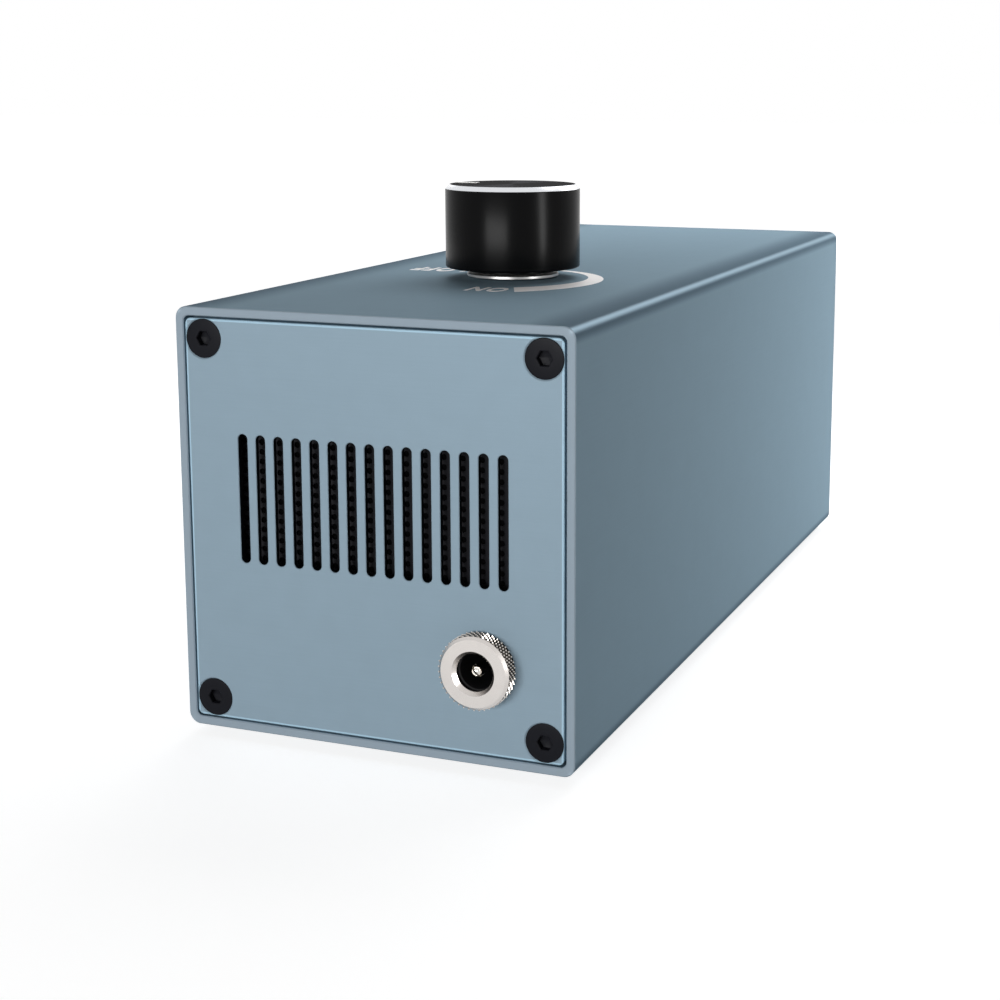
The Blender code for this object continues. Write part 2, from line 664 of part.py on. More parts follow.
def make_leads(red, black):
    """Wire the jack to the terminal block, and the block to the motor's end cap."""
    step = LEAD_STEP
    post = JACK_BARREL_L + JACK_TAIL_L + JACK_PIN_POST + SEAT_GAP
    nut_face = POCKET + JACK_NUT_T + SEAT_GAP
    beside = JACK_X - JACK_BARREL_R - 2 * SEAT_GAP - LEAD_R
    entry = BLOCK_DEPTH - BLOCK_L / 2 - SEAT_GAP
    entry_z = BLOCK_Z + BLOCK_H / 2
    quarter = BLOCK_W / 4
    rise = (entry_z - JACK_Z) / 2
    lead("jack_lead_red", [point(JACK_X, post, JACK_Z), point(JACK_X, post + step, JACK_Z),
                           point(JACK_X, post + 2 * step, JACK_Z + step),
                           point((JACK_X + quarter) / 2, post + 2 * step, JACK_Z + rise),
                           point(quarter, entry - 2 * step, entry_z - step),
                           point(quarter, entry - step, entry_z), point(quarter, entry, entry_z)], red)
    lead("jack_lead_black", [point(beside, nut_face, JACK_Z), point(beside, nut_face + step, JACK_Z),
                             point(beside - step, post, JACK_Z + step),
                             point((beside - quarter) / 2, post + step, JACK_Z + rise),
                             point(-quarter, entry - 2 * step, entry_z - step),
                             point(-quarter, entry - step, entry_z), point(-quarter, entry, entry_z)], black)
    brush = (MOTOR_SHAFT_R + MOTOR_R) / 2
    under = BLOCK_Z - SEAT_GAP
    into = CAP_FRONT - SEAT_GAP
    for name, side, look in (("motor_lead_red", 1, red), ("motor_lead_black", -1, black)):
        near = side * quarter
        far = side * brush
        lead(name, [point(near, BLOCK_DEPTH, under), point(near, BLOCK_DEPTH, under - step),
                    point((near + far) / 2, into - 2 * step, (under - step + PUMP_Z + MOTOR_R) / 2),
                    point(far, into - 2 * step, PUMP_Z + step),
                    point(far, into - step, PUMP_Z), point(far, into, PUMP_Z)], look)


def make_tray(metal, rubber):
    """Build the tray with the rubber rails and the saddle that the pump rests on."""
    length = BODY_L - 2 * (POCKET + MESH_T + SEAT_GAP)
    width = 2 * (BOSS_X - SEAT_GAP)
    sheet = loft(prism(rectangle(width, length), TRAY_Z, TRAY_TOP))
    solid("base_tray", sheet, metal, point(0.0, BODY_L / 2, 0.0))
    low = TRAY_TOP + SEAT_GAP
    reach = PUMP_SIDE / 2 - DAMPER_INSET - DAMPER_W / 2
    rail = rectangle(DAMPER_W, PUMP_SIDE - 2 * DAMPER_INSET)
    for i, side in enumerate((-1, 1), start=1):
        bar = loft(prism(rail, low, CRANKCASE_Z - SEAT_GAP))
        solid(f"damper_rail_{i}", bar, rubber, point(side * reach, CRANK_DEPTH, 0.0))
    depth = MOTOR_FRONT + SADDLE_BACK
    block = loft(prism(rectangle(SADDLE_W, SADDLE_L), low, PUMP_Z - SADDLE_DROP))
    saddle = solid("motor_saddle", block, rubber, point(0.0, depth + SADDLE_L / 2, 0.0))
    reach = MOTOR_R + SEAT_GAP
    bed = [ring(reach, h) for h in (SADDLE_L + OVERCUT, -OVERCUT)]
    combine(saddle, loft(bed), point(0.0, depth, PUMP_Z), FACING_REAR)


def make_motor(steel, plastic, copper, magnet):
    """Build the motor along the pump's axis: can, end cap, magnets and the turning armature."""
    shaft_hole = MOTOR_SHAFT_R + SEAT_GAP
    end = MOTOR_L - CAN_END_T
    profile = [(MOTOR_R, 0.0), (MOTOR_R, MOTOR_L), (shaft_hole, MOTOR_L), (shaft_hole, end),
               (CAN_BORE_R, end), (CAN_BORE_R, 0.0)]
    place = point(0.0, MOTOR_FRONT, PUMP_Z)
    solid("motor_can", loft([ring(r, h) for r, h in profile], closed=True), steel, place, FACING_REAR)
    plug = CAN_BORE_R - SEAT_GAP
    profile = [(MOTOR_R, 0.0), (MOTOR_R, CAP_T), (plug, CAP_T), (plug, CAP_T + SEAT_GAP + CAP_PLUG),
               (shaft_hole, CAP_T + SEAT_GAP + CAP_PLUG), (shaft_hole, CAP_FLOOR_T)]
    place = point(0.0, CAP_FRONT, PUMP_Z)
    solid("motor_end_cap", loft([ring(r, h) for r, h in profile]), plastic, place, FACING_REAR)
    place = point(0.0, MAGNET_FRONT, PUMP_Z)
    for i, aim in enumerate((0.0, math.pi), start=1):
        arc = [aim + MAGNET_SPAN * (k / ROUND_SMALL - 0.5) for k in range(ROUND_SMALL + 1)]
        back = [(MAGNET_R * math.cos(a), MAGNET_R * math.sin(a)) for a in arc]
        inside = MAGNET_R - MAGNET_T
        front = [(inside * math.cos(a), inside * math.sin(a)) for a in reversed(arc)]
        shell = loft(prism(back + front, 0.0, MAGNET_REAR - MAGNET_FRONT))
        solid(f"stator_magnet_{i}", shell, magnet, place, FACING_REAR)
    pivot = axis("motor_axis", point(0.0, CRANK_DEPTH, PUMP_Z))
    brushes = MOTOR_FRONT + CAP_PLUG + RUN_GAP
    tail = CAP_FRONT + CAP_FLOOR_T + SEAT_GAP
    nose = HUB_REAR - HUB_WEB - SEAT_GAP
    stack = [(MOTOR_SHAFT_R, tail), (MOTOR_SHAFT_R, brushes), (COMMUTATOR_R, brushes),
             (COMMUTATOR_R, MAGNET_FRONT), (ARMATURE_R, MAGNET_FRONT), (ARMATURE_R, MAGNET_REAR),
             (MOTOR_SHAFT_R, MAGNET_REAR), (MOTOR_SHAFT_R, nose)]
    rotor = loft([ring(r, h - CRANK_DEPTH, ROUND_SMALL) for r, h in stack])
    solid("armature", rotor, copper, point(0.0, CRANK_DEPTH, PUMP_Z), FACING_REAR, pivot)
    return pivot


def make_crank(pivot, steel, plastic):
    """Build the crank on the motor's shaft, with the bearing, rod and clamp disc that it drives.

    The pin stands at the top of its circle, where the rod is raised by the crank's throw.
    """
    centre = point(0.0, CRANK_DEPTH, PUMP_Z)
    hub_rear = HUB_REAR - CRANK_DEPTH
    hub_front = hub_rear - HUB_T
    hole = MOTOR_SHAFT_R + SEAT_GAP
    profile = [(HUB_R, hub_rear), (HUB_R, hub_front), (hole, hub_front), (hole, hub_rear - HUB_WEB)]
    rings = [ring(r, h, ROUND_SMALL) for r, h in profile]
    pin_end = ROD_T / 2 + SEAT_GAP
    pin = drilled(PIN_R, 0.0, CRANK_THROW, hub_rear, pin_end)
    solid("crank", loft(pin + rings), steel, centre, FACING_REAR, pivot)
    pin_centre = centre + Vector((0.0, 0.0, CRANK_THROW))
    pin_axis = axis("crank_pin_axis", pin_centre)
    half = BEARING_T / 2
    eye = PIN_R + SEAT_GAP
    profile = [(BEARING_R, half), (BEARING_R, -half), (eye, -half), (eye, half)]
    race = loft([ring(r, h, ROUND_SMALL) for r, h in profile], closed=True)
    solid("crank_bearing", race, steel, pin_centre, FACING_REAR, pin_axis)
    half = ROD_T / 2
    profile = [(BIG_END_R, half), (BIG_END_R, -half), (BIG_END_BORE_R, -half), (BIG_END_BORE_R, half)]
    big_end = loft([ring(r, h, ROUND) for r, h in profile], closed=True)
    rod = solid("connecting_rod", big_end, plastic, pin_centre, FACING_REAR, pin_axis)
    foot = ROD_L - ROD_FOOT_T
    root = (BIG_END_R + BIG_END_BORE_R) / 2
    overlap = ROD_FOOT_T / 2
    neck = loft(prism(rectangle(ROD_NECK_W, ROD_T - 2 * SEAT_GAP), root, foot + overlap))
    combine(rod, neck, pin_centre, UPRIGHT, "UNION")
    stud_top = ROD_L + 2 * SEAT_GAP + DIAPHRAGM_T + CLAMP_T
    top = [ring(STUD_R, stud_top, ROUND_SMALL), ring(STUD_R, ROD_L, ROUND_SMALL),
           ring(ROD_FOOT_R, ROD_L, ROUND_SMALL), ring(ROD_FOOT_R, foot, ROUND_SMALL)]
    combine(rod, loft(top), pin_centre, UPRIGHT, "UNION")
    hole = STUD_R + SEAT_GAP
    profile = [(ROD_FOOT_R, CLAMP_T), (ROD_FOOT_R, 0.0), (hole, 0.0), (hole, CLAMP_T)]
    disc = loft([ring(r, h, ROUND_SMALL) for r, h in profile], closed=True)
    solid("clamp_disc", disc, steel, point(0.0, CRANK_DEPTH, CLAMP_Z), parent=pin_axis)


def head_holes(low, high):
    """Return the rings of the four clearance holes for the head screws."""
    radius = HEAD_SCREW_R + SEAT_GAP
    return [drilled(radius, x, y, low, high) for x, y in corners(HEAD_SCREW_REACH, HEAD_SCREW_REACH)]


def make_crankcase(metal, rubber):
    """Build the crankcase round the crank, and the diaphragm that closes its mouth."""
    base = point(0.0, CRANK_DEPTH, 0.0)
    block = loft(prism(rectangle(PUMP_SIDE, PUMP_SIDE), CRANKCASE_Z, CRANKCASE_TOP))
    case = solid("crankcase", block, metal, base)
    hollow = [ring(CAVITY_R, h) for h in (PUMP_SIDE - CRANKCASE_END, -OVERCUT)]
    combine(case, loft(hollow), point(0.0, PUMP_FRONT, PUMP_Z), FACING_REAR)
    mouth = [ring(MOUTH_R, h) for h in (CRANKCASE_TOP + OVERCUT, PUMP_Z)]
    combine(case, loft(mouth), base)
    bite = CRANKCASE_TOP - HEAD_SCREW_BITE - SEAT_GAP
    combine(case, group(head_holes(bite, CRANKCASE_TOP + OVERCUT)), base)
    hole = STUD_R + SEAT_GAP
    low = DIAPHRAGM_Z
    lifted = low + CRANK_THROW
    bend = ROD_FOOT_R + SEAT_GAP
    profile = [(DIAPHRAGM_R, low), (CHAMBER_R, low), (bend, lifted), (hole, lifted)]
    skin = profile + [(r, h + DIAPHRAGM_T) for r, h in reversed(profile)]
    solid("diaphragm", loft([ring(r, h) for r, h in skin], closed=True), rubber, base)


def flap_cuts():
    """Return the rings of the two cuts that free each valve flap along its sides."""
    bar = rectangle(FLAP_CUT, 2 * FLAP_R)
    high = FLAP_Z + FLAP_T + OVERCUT
    return [prism(moved(bar, x, y), FLAP_Z - OVERCUT, high) for x, y in corners(FLAP_R, PORT_REACH)]


def make_head(metal, plastic, rubber, steel):
    """Stack the valve plate, the flap sheet and the head on the diaphragm, with the screws through them."""
    base = point(0.0, CRANK_DEPTH, 0.0)
    square = rectangle(PUMP_SIDE, PUMP_SIDE)
    plate = solid("valve_plate", loft(prism(square, VALVE_PLATE_Z, VALVE_PLATE_TOP)), plastic, base)
    chamber = [ring(CHAMBER_R, h) for h in (CHAMBER_TOP, VALVE_PLATE_Z - OVERCUT)]
    combine(plate, loft(chamber), base)
    high = VALVE_PLATE_TOP + OVERCUT
    ports = [drilled(PORT_R, 0.0, way * PORT_REACH, VALVE_PLATE_Z, high) for way in (1, -1)]
    combine(plate, group(ports), base)
    combine(plate, group(head_holes(VALVE_PLATE_Z - OVERCUT, VALVE_PLATE_TOP + OVERCUT)), base)
    flaps = solid("valve_flaps", loft(prism(square, FLAP_Z, FLAP_Z + FLAP_T)), rubber, base)
    combine(flaps, group(flap_cuts()), base)
    combine(flaps, group(head_holes(FLAP_Z - OVERCUT, FLAP_Z + FLAP_T + OVERCUT)), base)
    head = solid("pump_head", loft(prism(square, HEAD_Z, HEAD_TOP)), metal, base)
    across = 2 * (HEAD_SCREW_REACH - HEAD_SCREW_R - SEAT_GAP - HEAD_WALL)
    along = PUMP_SIDE / 2 - HEAD_WALL - HEAD_WEB / 2
    middle = (along + HEAD_WEB) / 2
    rooms = [prism(moved(rectangle(across, along), 0.0, way * middle), HEAD_Z - OVERCUT, HEAD_TOP - HEAD_WALL)
             for way in (1, -1)]
    combine(head, group(rooms), base)
    combine(head, group(head_holes(HEAD_Z - OVERCUT, HEAD_TOP + OVERCUT)), base)
    half = PUMP_SIDE / 2
    spout = [ring(NOZZLE_R, h, ROUND_SMALL) for h in (half + NOZZLE_L, half - HEAD_WALL / 2)]
    seat = point(0.0, CRANK_DEPTH, NOZZLE_Z)
    combine(head, loft(spout), seat, FACING_REAR, "UNION")
    room = half - HEAD_WALL - OVERCUT
    way = [ring(NOZZLE_BORE_R, h, ROUND_SMALL) for h in (half + NOZZLE_L + OVERCUT, room)]
    combine(head, loft(way), seat, FACING_REAR)
    mouth = [ring(PORT_R, h, ROUND_SMALL) for h in (half + OVERCUT, room)]
    combine(head, loft(mouth), seat, FACING_FRONT)
    seat_z = HEAD_TOP + SEAT_GAP
    tip = CRANKCASE_TOP - HEAD_SCREW_BITE
    screw = [(HEAD_SCREW_HEAD_R, seat_z + HEAD_SCREW_HEAD_H), (HEAD_SCREW_HEAD_R, seat_z),
             (HEAD_SCREW_R, seat_z), (HEAD_SCREW_R, tip)]
    for i, (x, y) in enumerate(corners(HEAD_SCREW_REACH, HEAD_SCREW_REACH), start=1):
        bolt = loft([ring(r, h, ROUND_SMALL) for r, h in screw])
        solid(f"head_screw_{i}", bolt, steel, base + Vector((x, y, 0.0)))


def make_outlet(nickel, silicone):
    """Build the outlet barb through the rear plate, its nut, and the hose from the pump head."""
    face = point(0.0, BODY_L + SEAT_GAP, NOZZLE_Z)
    top = OUTLET_FLANGE_T + BARB_L
    inside = -SEAT_GAP - POCKET - OUTLET_NUT_T - SEAT_GAP
    spigot = inside - NOZZLE_L
    tooth = BARB_L / BARB_COUNT
    peak = NOZZLE_R + BARB_RISE
    shoulder = peak + SEAT_GAP
    outer = [(NOZZLE_R - BARB_RISE, top)]
    for i in range(1, BARB_COUNT + 1):
        low = top - i * tooth
        waist = NOZZLE_R if i < BARB_COUNT else shoulder
        outer += [(peak, low + BARB_GROOVE), (waist, low + BARB_GROOVE), (waist, low)]
    rings = [ring(r, h, ROUND_SMALL) for r, h in outer]
    rings += [hexagon(OUTLET_FLANGE_HALF, OUTLET_FLANGE_T), hexagon(OUTLET_FLANGE_HALF, 0.0)]
    rings += [ring(r, h, ROUND_SMALL) for r, h in ((OUTLET_THREAD_R, 0.0), (OUTLET_THREAD_R, inside),
                                                  (NOZZLE_R, inside), (NOZZLE_R, spigot),
                                                  (NOZZLE_BORE_R, spigot), (NOZZLE_BORE_R, top))]
    solid("outlet_barb", loft(rings, closed=True), nickel, face, FACING_REAR)
    thread = OUTLET_THREAD_R + SEAT_GAP
    nut = [hexagon(OUTLET_FLANGE_HALF, OUTLET_NUT_T), hexagon(OUTLET_FLANGE_HALF, 0.0),
           ring(thread, 0.0, ROUND_SMALL), ring(thread, OUTLET_NUT_T, ROUND_SMALL)]
    place = point(0.0, BODY_L - POCKET - OUTLET_NUT_T, NOZZLE_Z)
    solid("outlet_nut", loft(nut, closed=True), nickel, place, FACING_REAR)
    start = PUMP_REAR + SEAT_GAP
    run = BODY_L + SEAT_GAP + inside - SEAT_GAP - start
    skin = HOSE_BORE_R + HOSE_WALL
    profile = [(skin, run), (skin, 0.0), (HOSE_BORE_R, 0.0), (HOSE_BORE_R, run)]
    hose = loft([ring(r, h, ROUND_SMALL) for r, h in profile], closed=True)
    solid("outlet_hose", hose, silicone, point(0.0, start, NOZZLE_Z), FACING_REAR)


def main():
    """Build every piece with its own finish."""
    clear_scene()
    anodised = finish("blue_grey_anodised", (0.27, 0.36, 0.42), 0.42, 0.6)
    screw_black = finish("black_oxide_steel", (0.012, 0.012, 0.013), 0.45, 0.5)
    mesh_black = finish("black_mesh", (0.01, 0.01, 0.01), 0.6, 0.3)
    rubber = finish("black_rubber", (0.015, 0.015, 0.015), 0.85, 0.0)
    nickel = finish("nickel_plate", (0.68, 0.66, 0.64), 0.25, 1.0)
    black_plastic = finish("black_plastic", (0.012, 0.012, 0.012), 0.5, 0.0)
    knob_black = finish("black_anodised", (0.015, 0.015, 0.016), 0.35, 0.5)
    steel = finish("bright_steel", (0.55, 0.55, 0.54), 0.35, 1.0)
    board = finish("board_green", (0.02, 0.16, 0.06), 0.5, 0.0)
    red = finish("red_wire", (0.5, 0.02, 0.02), 0.5, 0.0)
    black = finish("black_wire", (0.02, 0.02, 0.02), 0.5, 0.0)
    copper = finish("copper_winding", (0.45, 0.2, 0.09), 0.4, 1.0)
    magnet = finish("ferrite", (0.05, 0.05, 0.055), 0.6, 0.0)
    cast = finish("cast_aluminium", (0.45, 0.46, 0.47), 0.5, 1.0)
    silicone = finish("clear_silicone", (0.75, 0.76, 0.75), 0.4, 0.0)
    make_case(anodised)
    jack_hole = (JACK_X, JACK_Z - MID_Z, JACK_BARREL_R + SEAT_GAP)
    outlet_hole = (0.0, NOZZLE_Z - MID_Z, OUTLET_THREAD_R + SEAT_GAP)
    looks = (anodised, screw_black, mesh_black)
    make_end("jack", 0.0, FACING_FRONT, INTAKE_RISE, jack_hole, looks)
    make_end("outlet", BODY_L, FACING_REAR, EXHAUST_RISE, outlet_hole, looks)
    make_feet(rubber)
    make_jack(nickel, black_plastic)
    make_knob(knob_black, steel, nickel, black_plastic)
    make_board(board, black_plastic)
    make_leads(red, black)
    make_tray(steel, rubber)
    pivot = make_motor(steel, black_plastic, copper, magnet)
    make_crank(pivot, steel, black_plastic)
    make_crankcase(cast, rubber)
    make_head(cast, black_plastic, rubber, steel)
    make_outlet(nickel, silicone)


main()
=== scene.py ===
"""Looks of a desktop air pump: fine meshes, finishes, light and camera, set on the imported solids.

Lengths are metres in the part's own frame. +Z is up, the jack end looks along -Y, and the feet stand on
Z = 0. A mesh that is made along +Z is turned by its aim and moved to its place before it becomes a piece.
"""
import logging
import math
from collections.abc import Sequence
from dataclasses import dataclass
from enum import Enum, IntEnum
from functools import cache

import bmesh
import bpy
from mathutils import Euler, Matrix, Vector


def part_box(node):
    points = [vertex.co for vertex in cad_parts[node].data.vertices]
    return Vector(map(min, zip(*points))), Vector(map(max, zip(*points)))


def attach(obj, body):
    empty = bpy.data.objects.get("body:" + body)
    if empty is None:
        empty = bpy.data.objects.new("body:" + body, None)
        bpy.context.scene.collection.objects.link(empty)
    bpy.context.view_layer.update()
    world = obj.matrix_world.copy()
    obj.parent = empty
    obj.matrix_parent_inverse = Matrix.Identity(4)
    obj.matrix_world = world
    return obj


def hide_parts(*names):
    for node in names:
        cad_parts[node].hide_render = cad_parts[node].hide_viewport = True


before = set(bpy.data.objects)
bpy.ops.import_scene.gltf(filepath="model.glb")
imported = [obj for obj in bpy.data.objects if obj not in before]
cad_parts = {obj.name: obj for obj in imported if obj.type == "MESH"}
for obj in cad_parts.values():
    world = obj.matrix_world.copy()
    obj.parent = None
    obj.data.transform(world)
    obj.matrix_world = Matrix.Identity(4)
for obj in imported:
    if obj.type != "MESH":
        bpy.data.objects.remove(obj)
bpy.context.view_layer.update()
LOG = logging.getLogger("air_pump")

MM = 0.001
FULL_TURN = 2.0 * math.pi
SEAT_GAP = 0.3 * MM
OVERCUT = 1.0 * MM
MERGE = 0.0005 * MM
SHARP_ANGLE = math.radians(28)
FINE_DETAIL = 3.0
BROAD_DETAIL = 4.0
CLOUD_SPAN = 24.0

Colour = tuple[float, float, float]
Outline = list[tuple[float, float]]
Ring = list[Vector]
Triple = tuple[float, float, float]

BLACK: Colour = (0.0, 0.0, 0.0)
WHITE: Colour = (1.0, 1.0, 1.0)


def srgb(red: int, green: int, blue: int) -> Colour:
    """Turn a colour as it shows on a screen into the linear values that a shader takes.

    Args:
        red: red level, 0 to 255.
        green: green level, 0 to 255.
        blue: blue level, 0 to 255.

    Returns:
        The linear colour.
    """
    levels = [level / 255.0 for level in (red, green, blue)]
    linear = [v / 12.92 if v <= 0.04045 else ((v + 0.055) / 1.055) ** 2.4 for v in levels]
    return linear[0], linear[1], linear[2]


class Body(Enum):
    """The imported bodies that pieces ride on."""

    CASE = "case"
    KNOB = "flow_knob"
    ROD = "rod"


class Aim(Enum):
    """Where the +Z of a mesh points once it is turned, as Euler angles."""

    UP = (0.0, 0.0, 0.0)
    FRONT = (math.pi / 2, 0.0, 0.0)
    REAR = (math.pi / 2, 0.0, math.pi)

    def matrix(self, place: Sequence[float]) -> Matrix:
        """Return the turn followed by the move to a place."""
        return Matrix.Translation(Vector(place)) @ Euler(self.value).to_matrix().to_4x4()


class Lay(Enum):
    """The direction of brushing or drawing lines, as how far the grain is drawn out along X, Y and Z."""

    ALONG_X = (60.0, 1.0, 1.0)
    ALONG_Y = (1.0, 90.0, 1.0)


class Axis(Enum):
    """The axis that turning marks run round, as the two coordinates across it."""

    Y = (0, 2)
    Z = (0, 1)


class Round(IntEnum):
    """How many points go round a turned shape, by its size."""

    BORE = 24
    DRILL = 32
    SMALL = 48
    MIDDLE = 64
    BARB = 72
    WASHER = 96
    FLANGE = 128
    KNOB = 160


class Value:
    """An output socket that can stand in a Python expression, where each operation adds a Math node."""

    def __init__(self, net: "Net", socket: bpy.types.NodeSocket) -> None:
        """Keep the net that adds nodes, and the socket."""
        self.net = net
        self.socket = socket

    def __add__(self, other: "Term") -> "Value":
        """Add a term."""
        return self.net.math("ADD", self, other)

    def __radd__(self, other: "Term") -> "Value":
        """Add to a number on the left."""
        return self.net.math("ADD", other, self)

    def __sub__(self, other: "Term") -> "Value":
        """Take a term away."""
        return self.net.math("SUBTRACT", self, other)

    def __rsub__(self, other: "Term") -> "Value":
        """Take this away from a number on the left."""
        return self.net.math("SUBTRACT", other, self)

    def __mul__(self, other: "Term") -> "Value":
        """Multiply by a term."""
        return self.net.math("MULTIPLY", self, other)

    def __rmul__(self, other: "Term") -> "Value":
        """Multiply a number on the left."""
        return self.net.math("MULTIPLY", other, self)

    def __truediv__(self, other: "Term") -> "Value":
        """Divide by a term."""
        return self.net.math("DIVIDE", self, other)

    def __rtruediv__(self, other: "Term") -> "Value":
        """Divide a number on the left."""
        return self.net.math("DIVIDE", other, self)

    def __abs__(self) -> "Value":
        """Drop the sign."""
        return self.net.math("ABSOLUTE", self)

    def __and__(self, other: "Term") -> "Value":
        """Take the lesser of two, which is where two masks meet."""
        return self.net.math("MINIMUM", self, other)

    def __or__(self, other: "Term") -> "Value":
        """Take the greater of two, which is where either mask holds."""
        return self.net.math("MAXIMUM", self, other)

    def step(self, low: float, high: float) -> "Value":
        """Rise smoothly from 0 at the low mark to 1 at the high one."""
        settings = {"interpolation_type": "SMOOTHSTEP"}
        return self.net.node("ShaderNodeMapRange", settings, {0: self, 1: low, 2: high})

    def other(self, name: str) -> "Value":
        """Return another output of the same node."""
        return Value(self.net, self.socket.node.outputs[name])


Term = Value | float


class Net:
    """Adds nodes to one tree and links them."""

    def __init__(self, tree: bpy.types.NodeTree) -> None:
        """Keep the tree."""
        self.tree = tree

    def feed(self, socket: bpy.types.NodeSocket, value: object) -> None:
        """Link a socket to a value, to each of several values, or set it.

        Args:
            socket: the input that is fed.
            value: a Value, a list of Values, or a plain setting.
        """
        if isinstance(value, Value):
            self.tree.links.new(value.socket, socket)
        elif isinstance(value, list):
            for one in value:
                self.tree.links.new(one.socket, socket)
        elif socket.type == "RGBA":
            socket.default_value = (*value[:3], 1.0)
        else:
            socket.default_value = value

    def node(self, kind: str, settings: dict | None = None, values: dict | None = None,
             out: int | str = 0) -> Value:
        """Add one node.

        Args:
            kind: the node's type.
            settings: its own properties, set before its sockets.
            values: what its sockets take, by name or number.
            out: which output is wanted.

        Returns:
            That output.
        """
        made = self.tree.nodes.new(kind)
        for name, setting in (settings or {}).items():
            setattr(made, name, setting)
        for key, value in (values or {}).items():
            self.feed(made.inputs[key], value)
        return Value(self, made.outputs[out])

    def math(self, operation: str, *terms: Term) -> Value:
        """Add a Math node on some terms."""
        return self.node("ShaderNodeMath", {"operation": operation}, dict(enumerate(terms)))

    def vector(self, operation: str, *terms: object) -> Value:
        """Add a Vector Math node on some vectors."""
        return self.node("ShaderNodeVectorMath", {"operation": operation}, dict(enumerate(terms)))

    def split(self, at: Value) -> tuple[Value, Value, Value]:
        """Return the three coordinates of a vector."""
        first = self.node("ShaderNodeSeparateXYZ", None, {0: at}, "X")
        return first, first.other("Y"), first.other("Z")

    def joined(self, x: Term, y: Term, z: Term) -> Value:
        """Return a vector of three coordinates."""
        return self.node("ShaderNodeCombineXYZ", None, {0: x, 1: y, 2: z})


class Paint(Net):
    """The nodes of one material."""

    def __init__(self, material: bpy.types.Material) -> None:
        """Clear the material's own nodes and add its shader and output.

        Args:
            material: the material.
        """
        super().__init__(material.node_tree)
        self.tree.nodes.clear()
        self.shader = self.tree.nodes.new("ShaderNodeBsdfPrincipled")
        end = self.tree.nodes.new("ShaderNodeOutputMaterial")
        self.tree.links.new(self.shader.outputs["BSDF"], end.inputs["Surface"])

    def set(self, **values: object) -> None:
        """Set or link the shader's sockets, with _ for a space in their names."""
        for name, value in values.items():
            self.feed(self.shader.inputs[name.replace("_", " ")], value)

    def at(self, centre: Triple = (0.0, 0.0, 0.0), unit: Triple = (1.0, 1.0, 1.0)) -> Value:
        """Return the piece's own coordinates.

        Args:
            centre: the point that becomes zero.
            unit: the length along each axis that becomes 1.

        Returns:
            The coordinates as a vector.
        """
        place = self.node("ShaderNodeTexCoord", out="Object")
        return self.node("ShaderNodeMapping", {"vector_type": "TEXTURE"},
                         {"Vector": place, "Location": centre, "Scale": unit})

    def noise(self, at: Value, detail: float = 2.0) -> Value:
        """Return noise from 0 to 1 with a grain of about one unit."""
        return self.node("ShaderNodeTexNoise", None, {"Vector": at, "Scale": 1.0, "Detail": detail})

    def mix(self, share: Term, first: object, second: object) -> Value:
        """Return a colour that goes from the first to the second as the share rises."""
        return self.node("ShaderNodeMix", {"data_type": "RGBA"}, {0: share, 6: first, 7: second}, 2)

    def bump(self, height: Value, depth: float) -> Value:
        """Return a normal that is bent by a height of 0 to 1 over a depth in metres."""
        return self.node("ShaderNodeBump", None, {"Strength": 1.0, "Distance": depth, "Height": height})


def shaded(colour: Colour, share: float) -> Colour:
    """Return a colour that is made lighter or darker by a share."""
    return tuple(min(1.0, max(0.0, level * (1.0 + share))) for level in colour)


@dataclass(frozen=True)
class Finish:
    """A moulded, cast or painted surface with a fine even grain.

    The colour wanders by the drift, and the roughness by the spread, both as shares.
    """

    name: str
    slot: str
    colour: Colour
    roughness: float
    metallic: float = 0.0
    gloss: float = 0.5
    grain: float = 0.35 * MM
    relief: float = 0.004 * MM
    drift: float = 0.08
    spread: float = 0.15

    def height(self, paint: Paint) -> Value:
        """Return the fine relief of the surface, from 0 to 1."""
        return paint.noise(paint.at(unit=(self.grain,) * 3), FINE_DETAIL)

    def cloud(self, paint: Paint) -> Value:
        """Return the slow change over the surface, from 0 to 1."""
        return paint.noise(paint.at(unit=(CLOUD_SPAN * self.grain,) * 3), BROAD_DETAIL)

    def tint(self, paint: Paint, shade: Value) -> Value:
        """Return the colour, which follows a shade of 0 to 1."""
        return paint.mix(shade, shaded(self.colour, -self.drift), shaded(self.colour, self.drift))

    def metal(self, paint: Paint) -> Term:
        """Return how metallic the surface is."""
        return self.metallic

    @cache
    def material(self) -> bpy.types.Material:
        """Build the material once.

        Returns:
            The material.
        """
        made = bpy.data.materials.new(self.name)
        made.use_nodes = True
        made.diffuse_color = (*self.colour, 1.0)
        paint = Paint(made)
        height = self.height(paint)
        shade = 0.5 * height + 0.5 * self.cloud(paint)
        rough = self.roughness * (1.0 - self.spread) + 2.0 * self.roughness * self.spread * shade
        paint.set(Metallic=self.metal(paint), Specular_IOR_Level=self.gloss, Roughness=rough)
        paint.set(Base_Color=self.tint(paint, shade), Normal=paint.bump(height, self.relief))
        return made


@dataclass(frozen=True)
class Brushed(Finish):
    """Metal with straight brushing or drawing lines."""

    lay: Lay = Lay.ALONG_X

    def height(self, paint: Paint) -> Value:
        """Return the lines, from 0 to 1."""
        long = tuple(self.grain * reach for reach in self.lay.value)
        return paint.noise(paint.at(unit=long), BROAD_DETAIL)


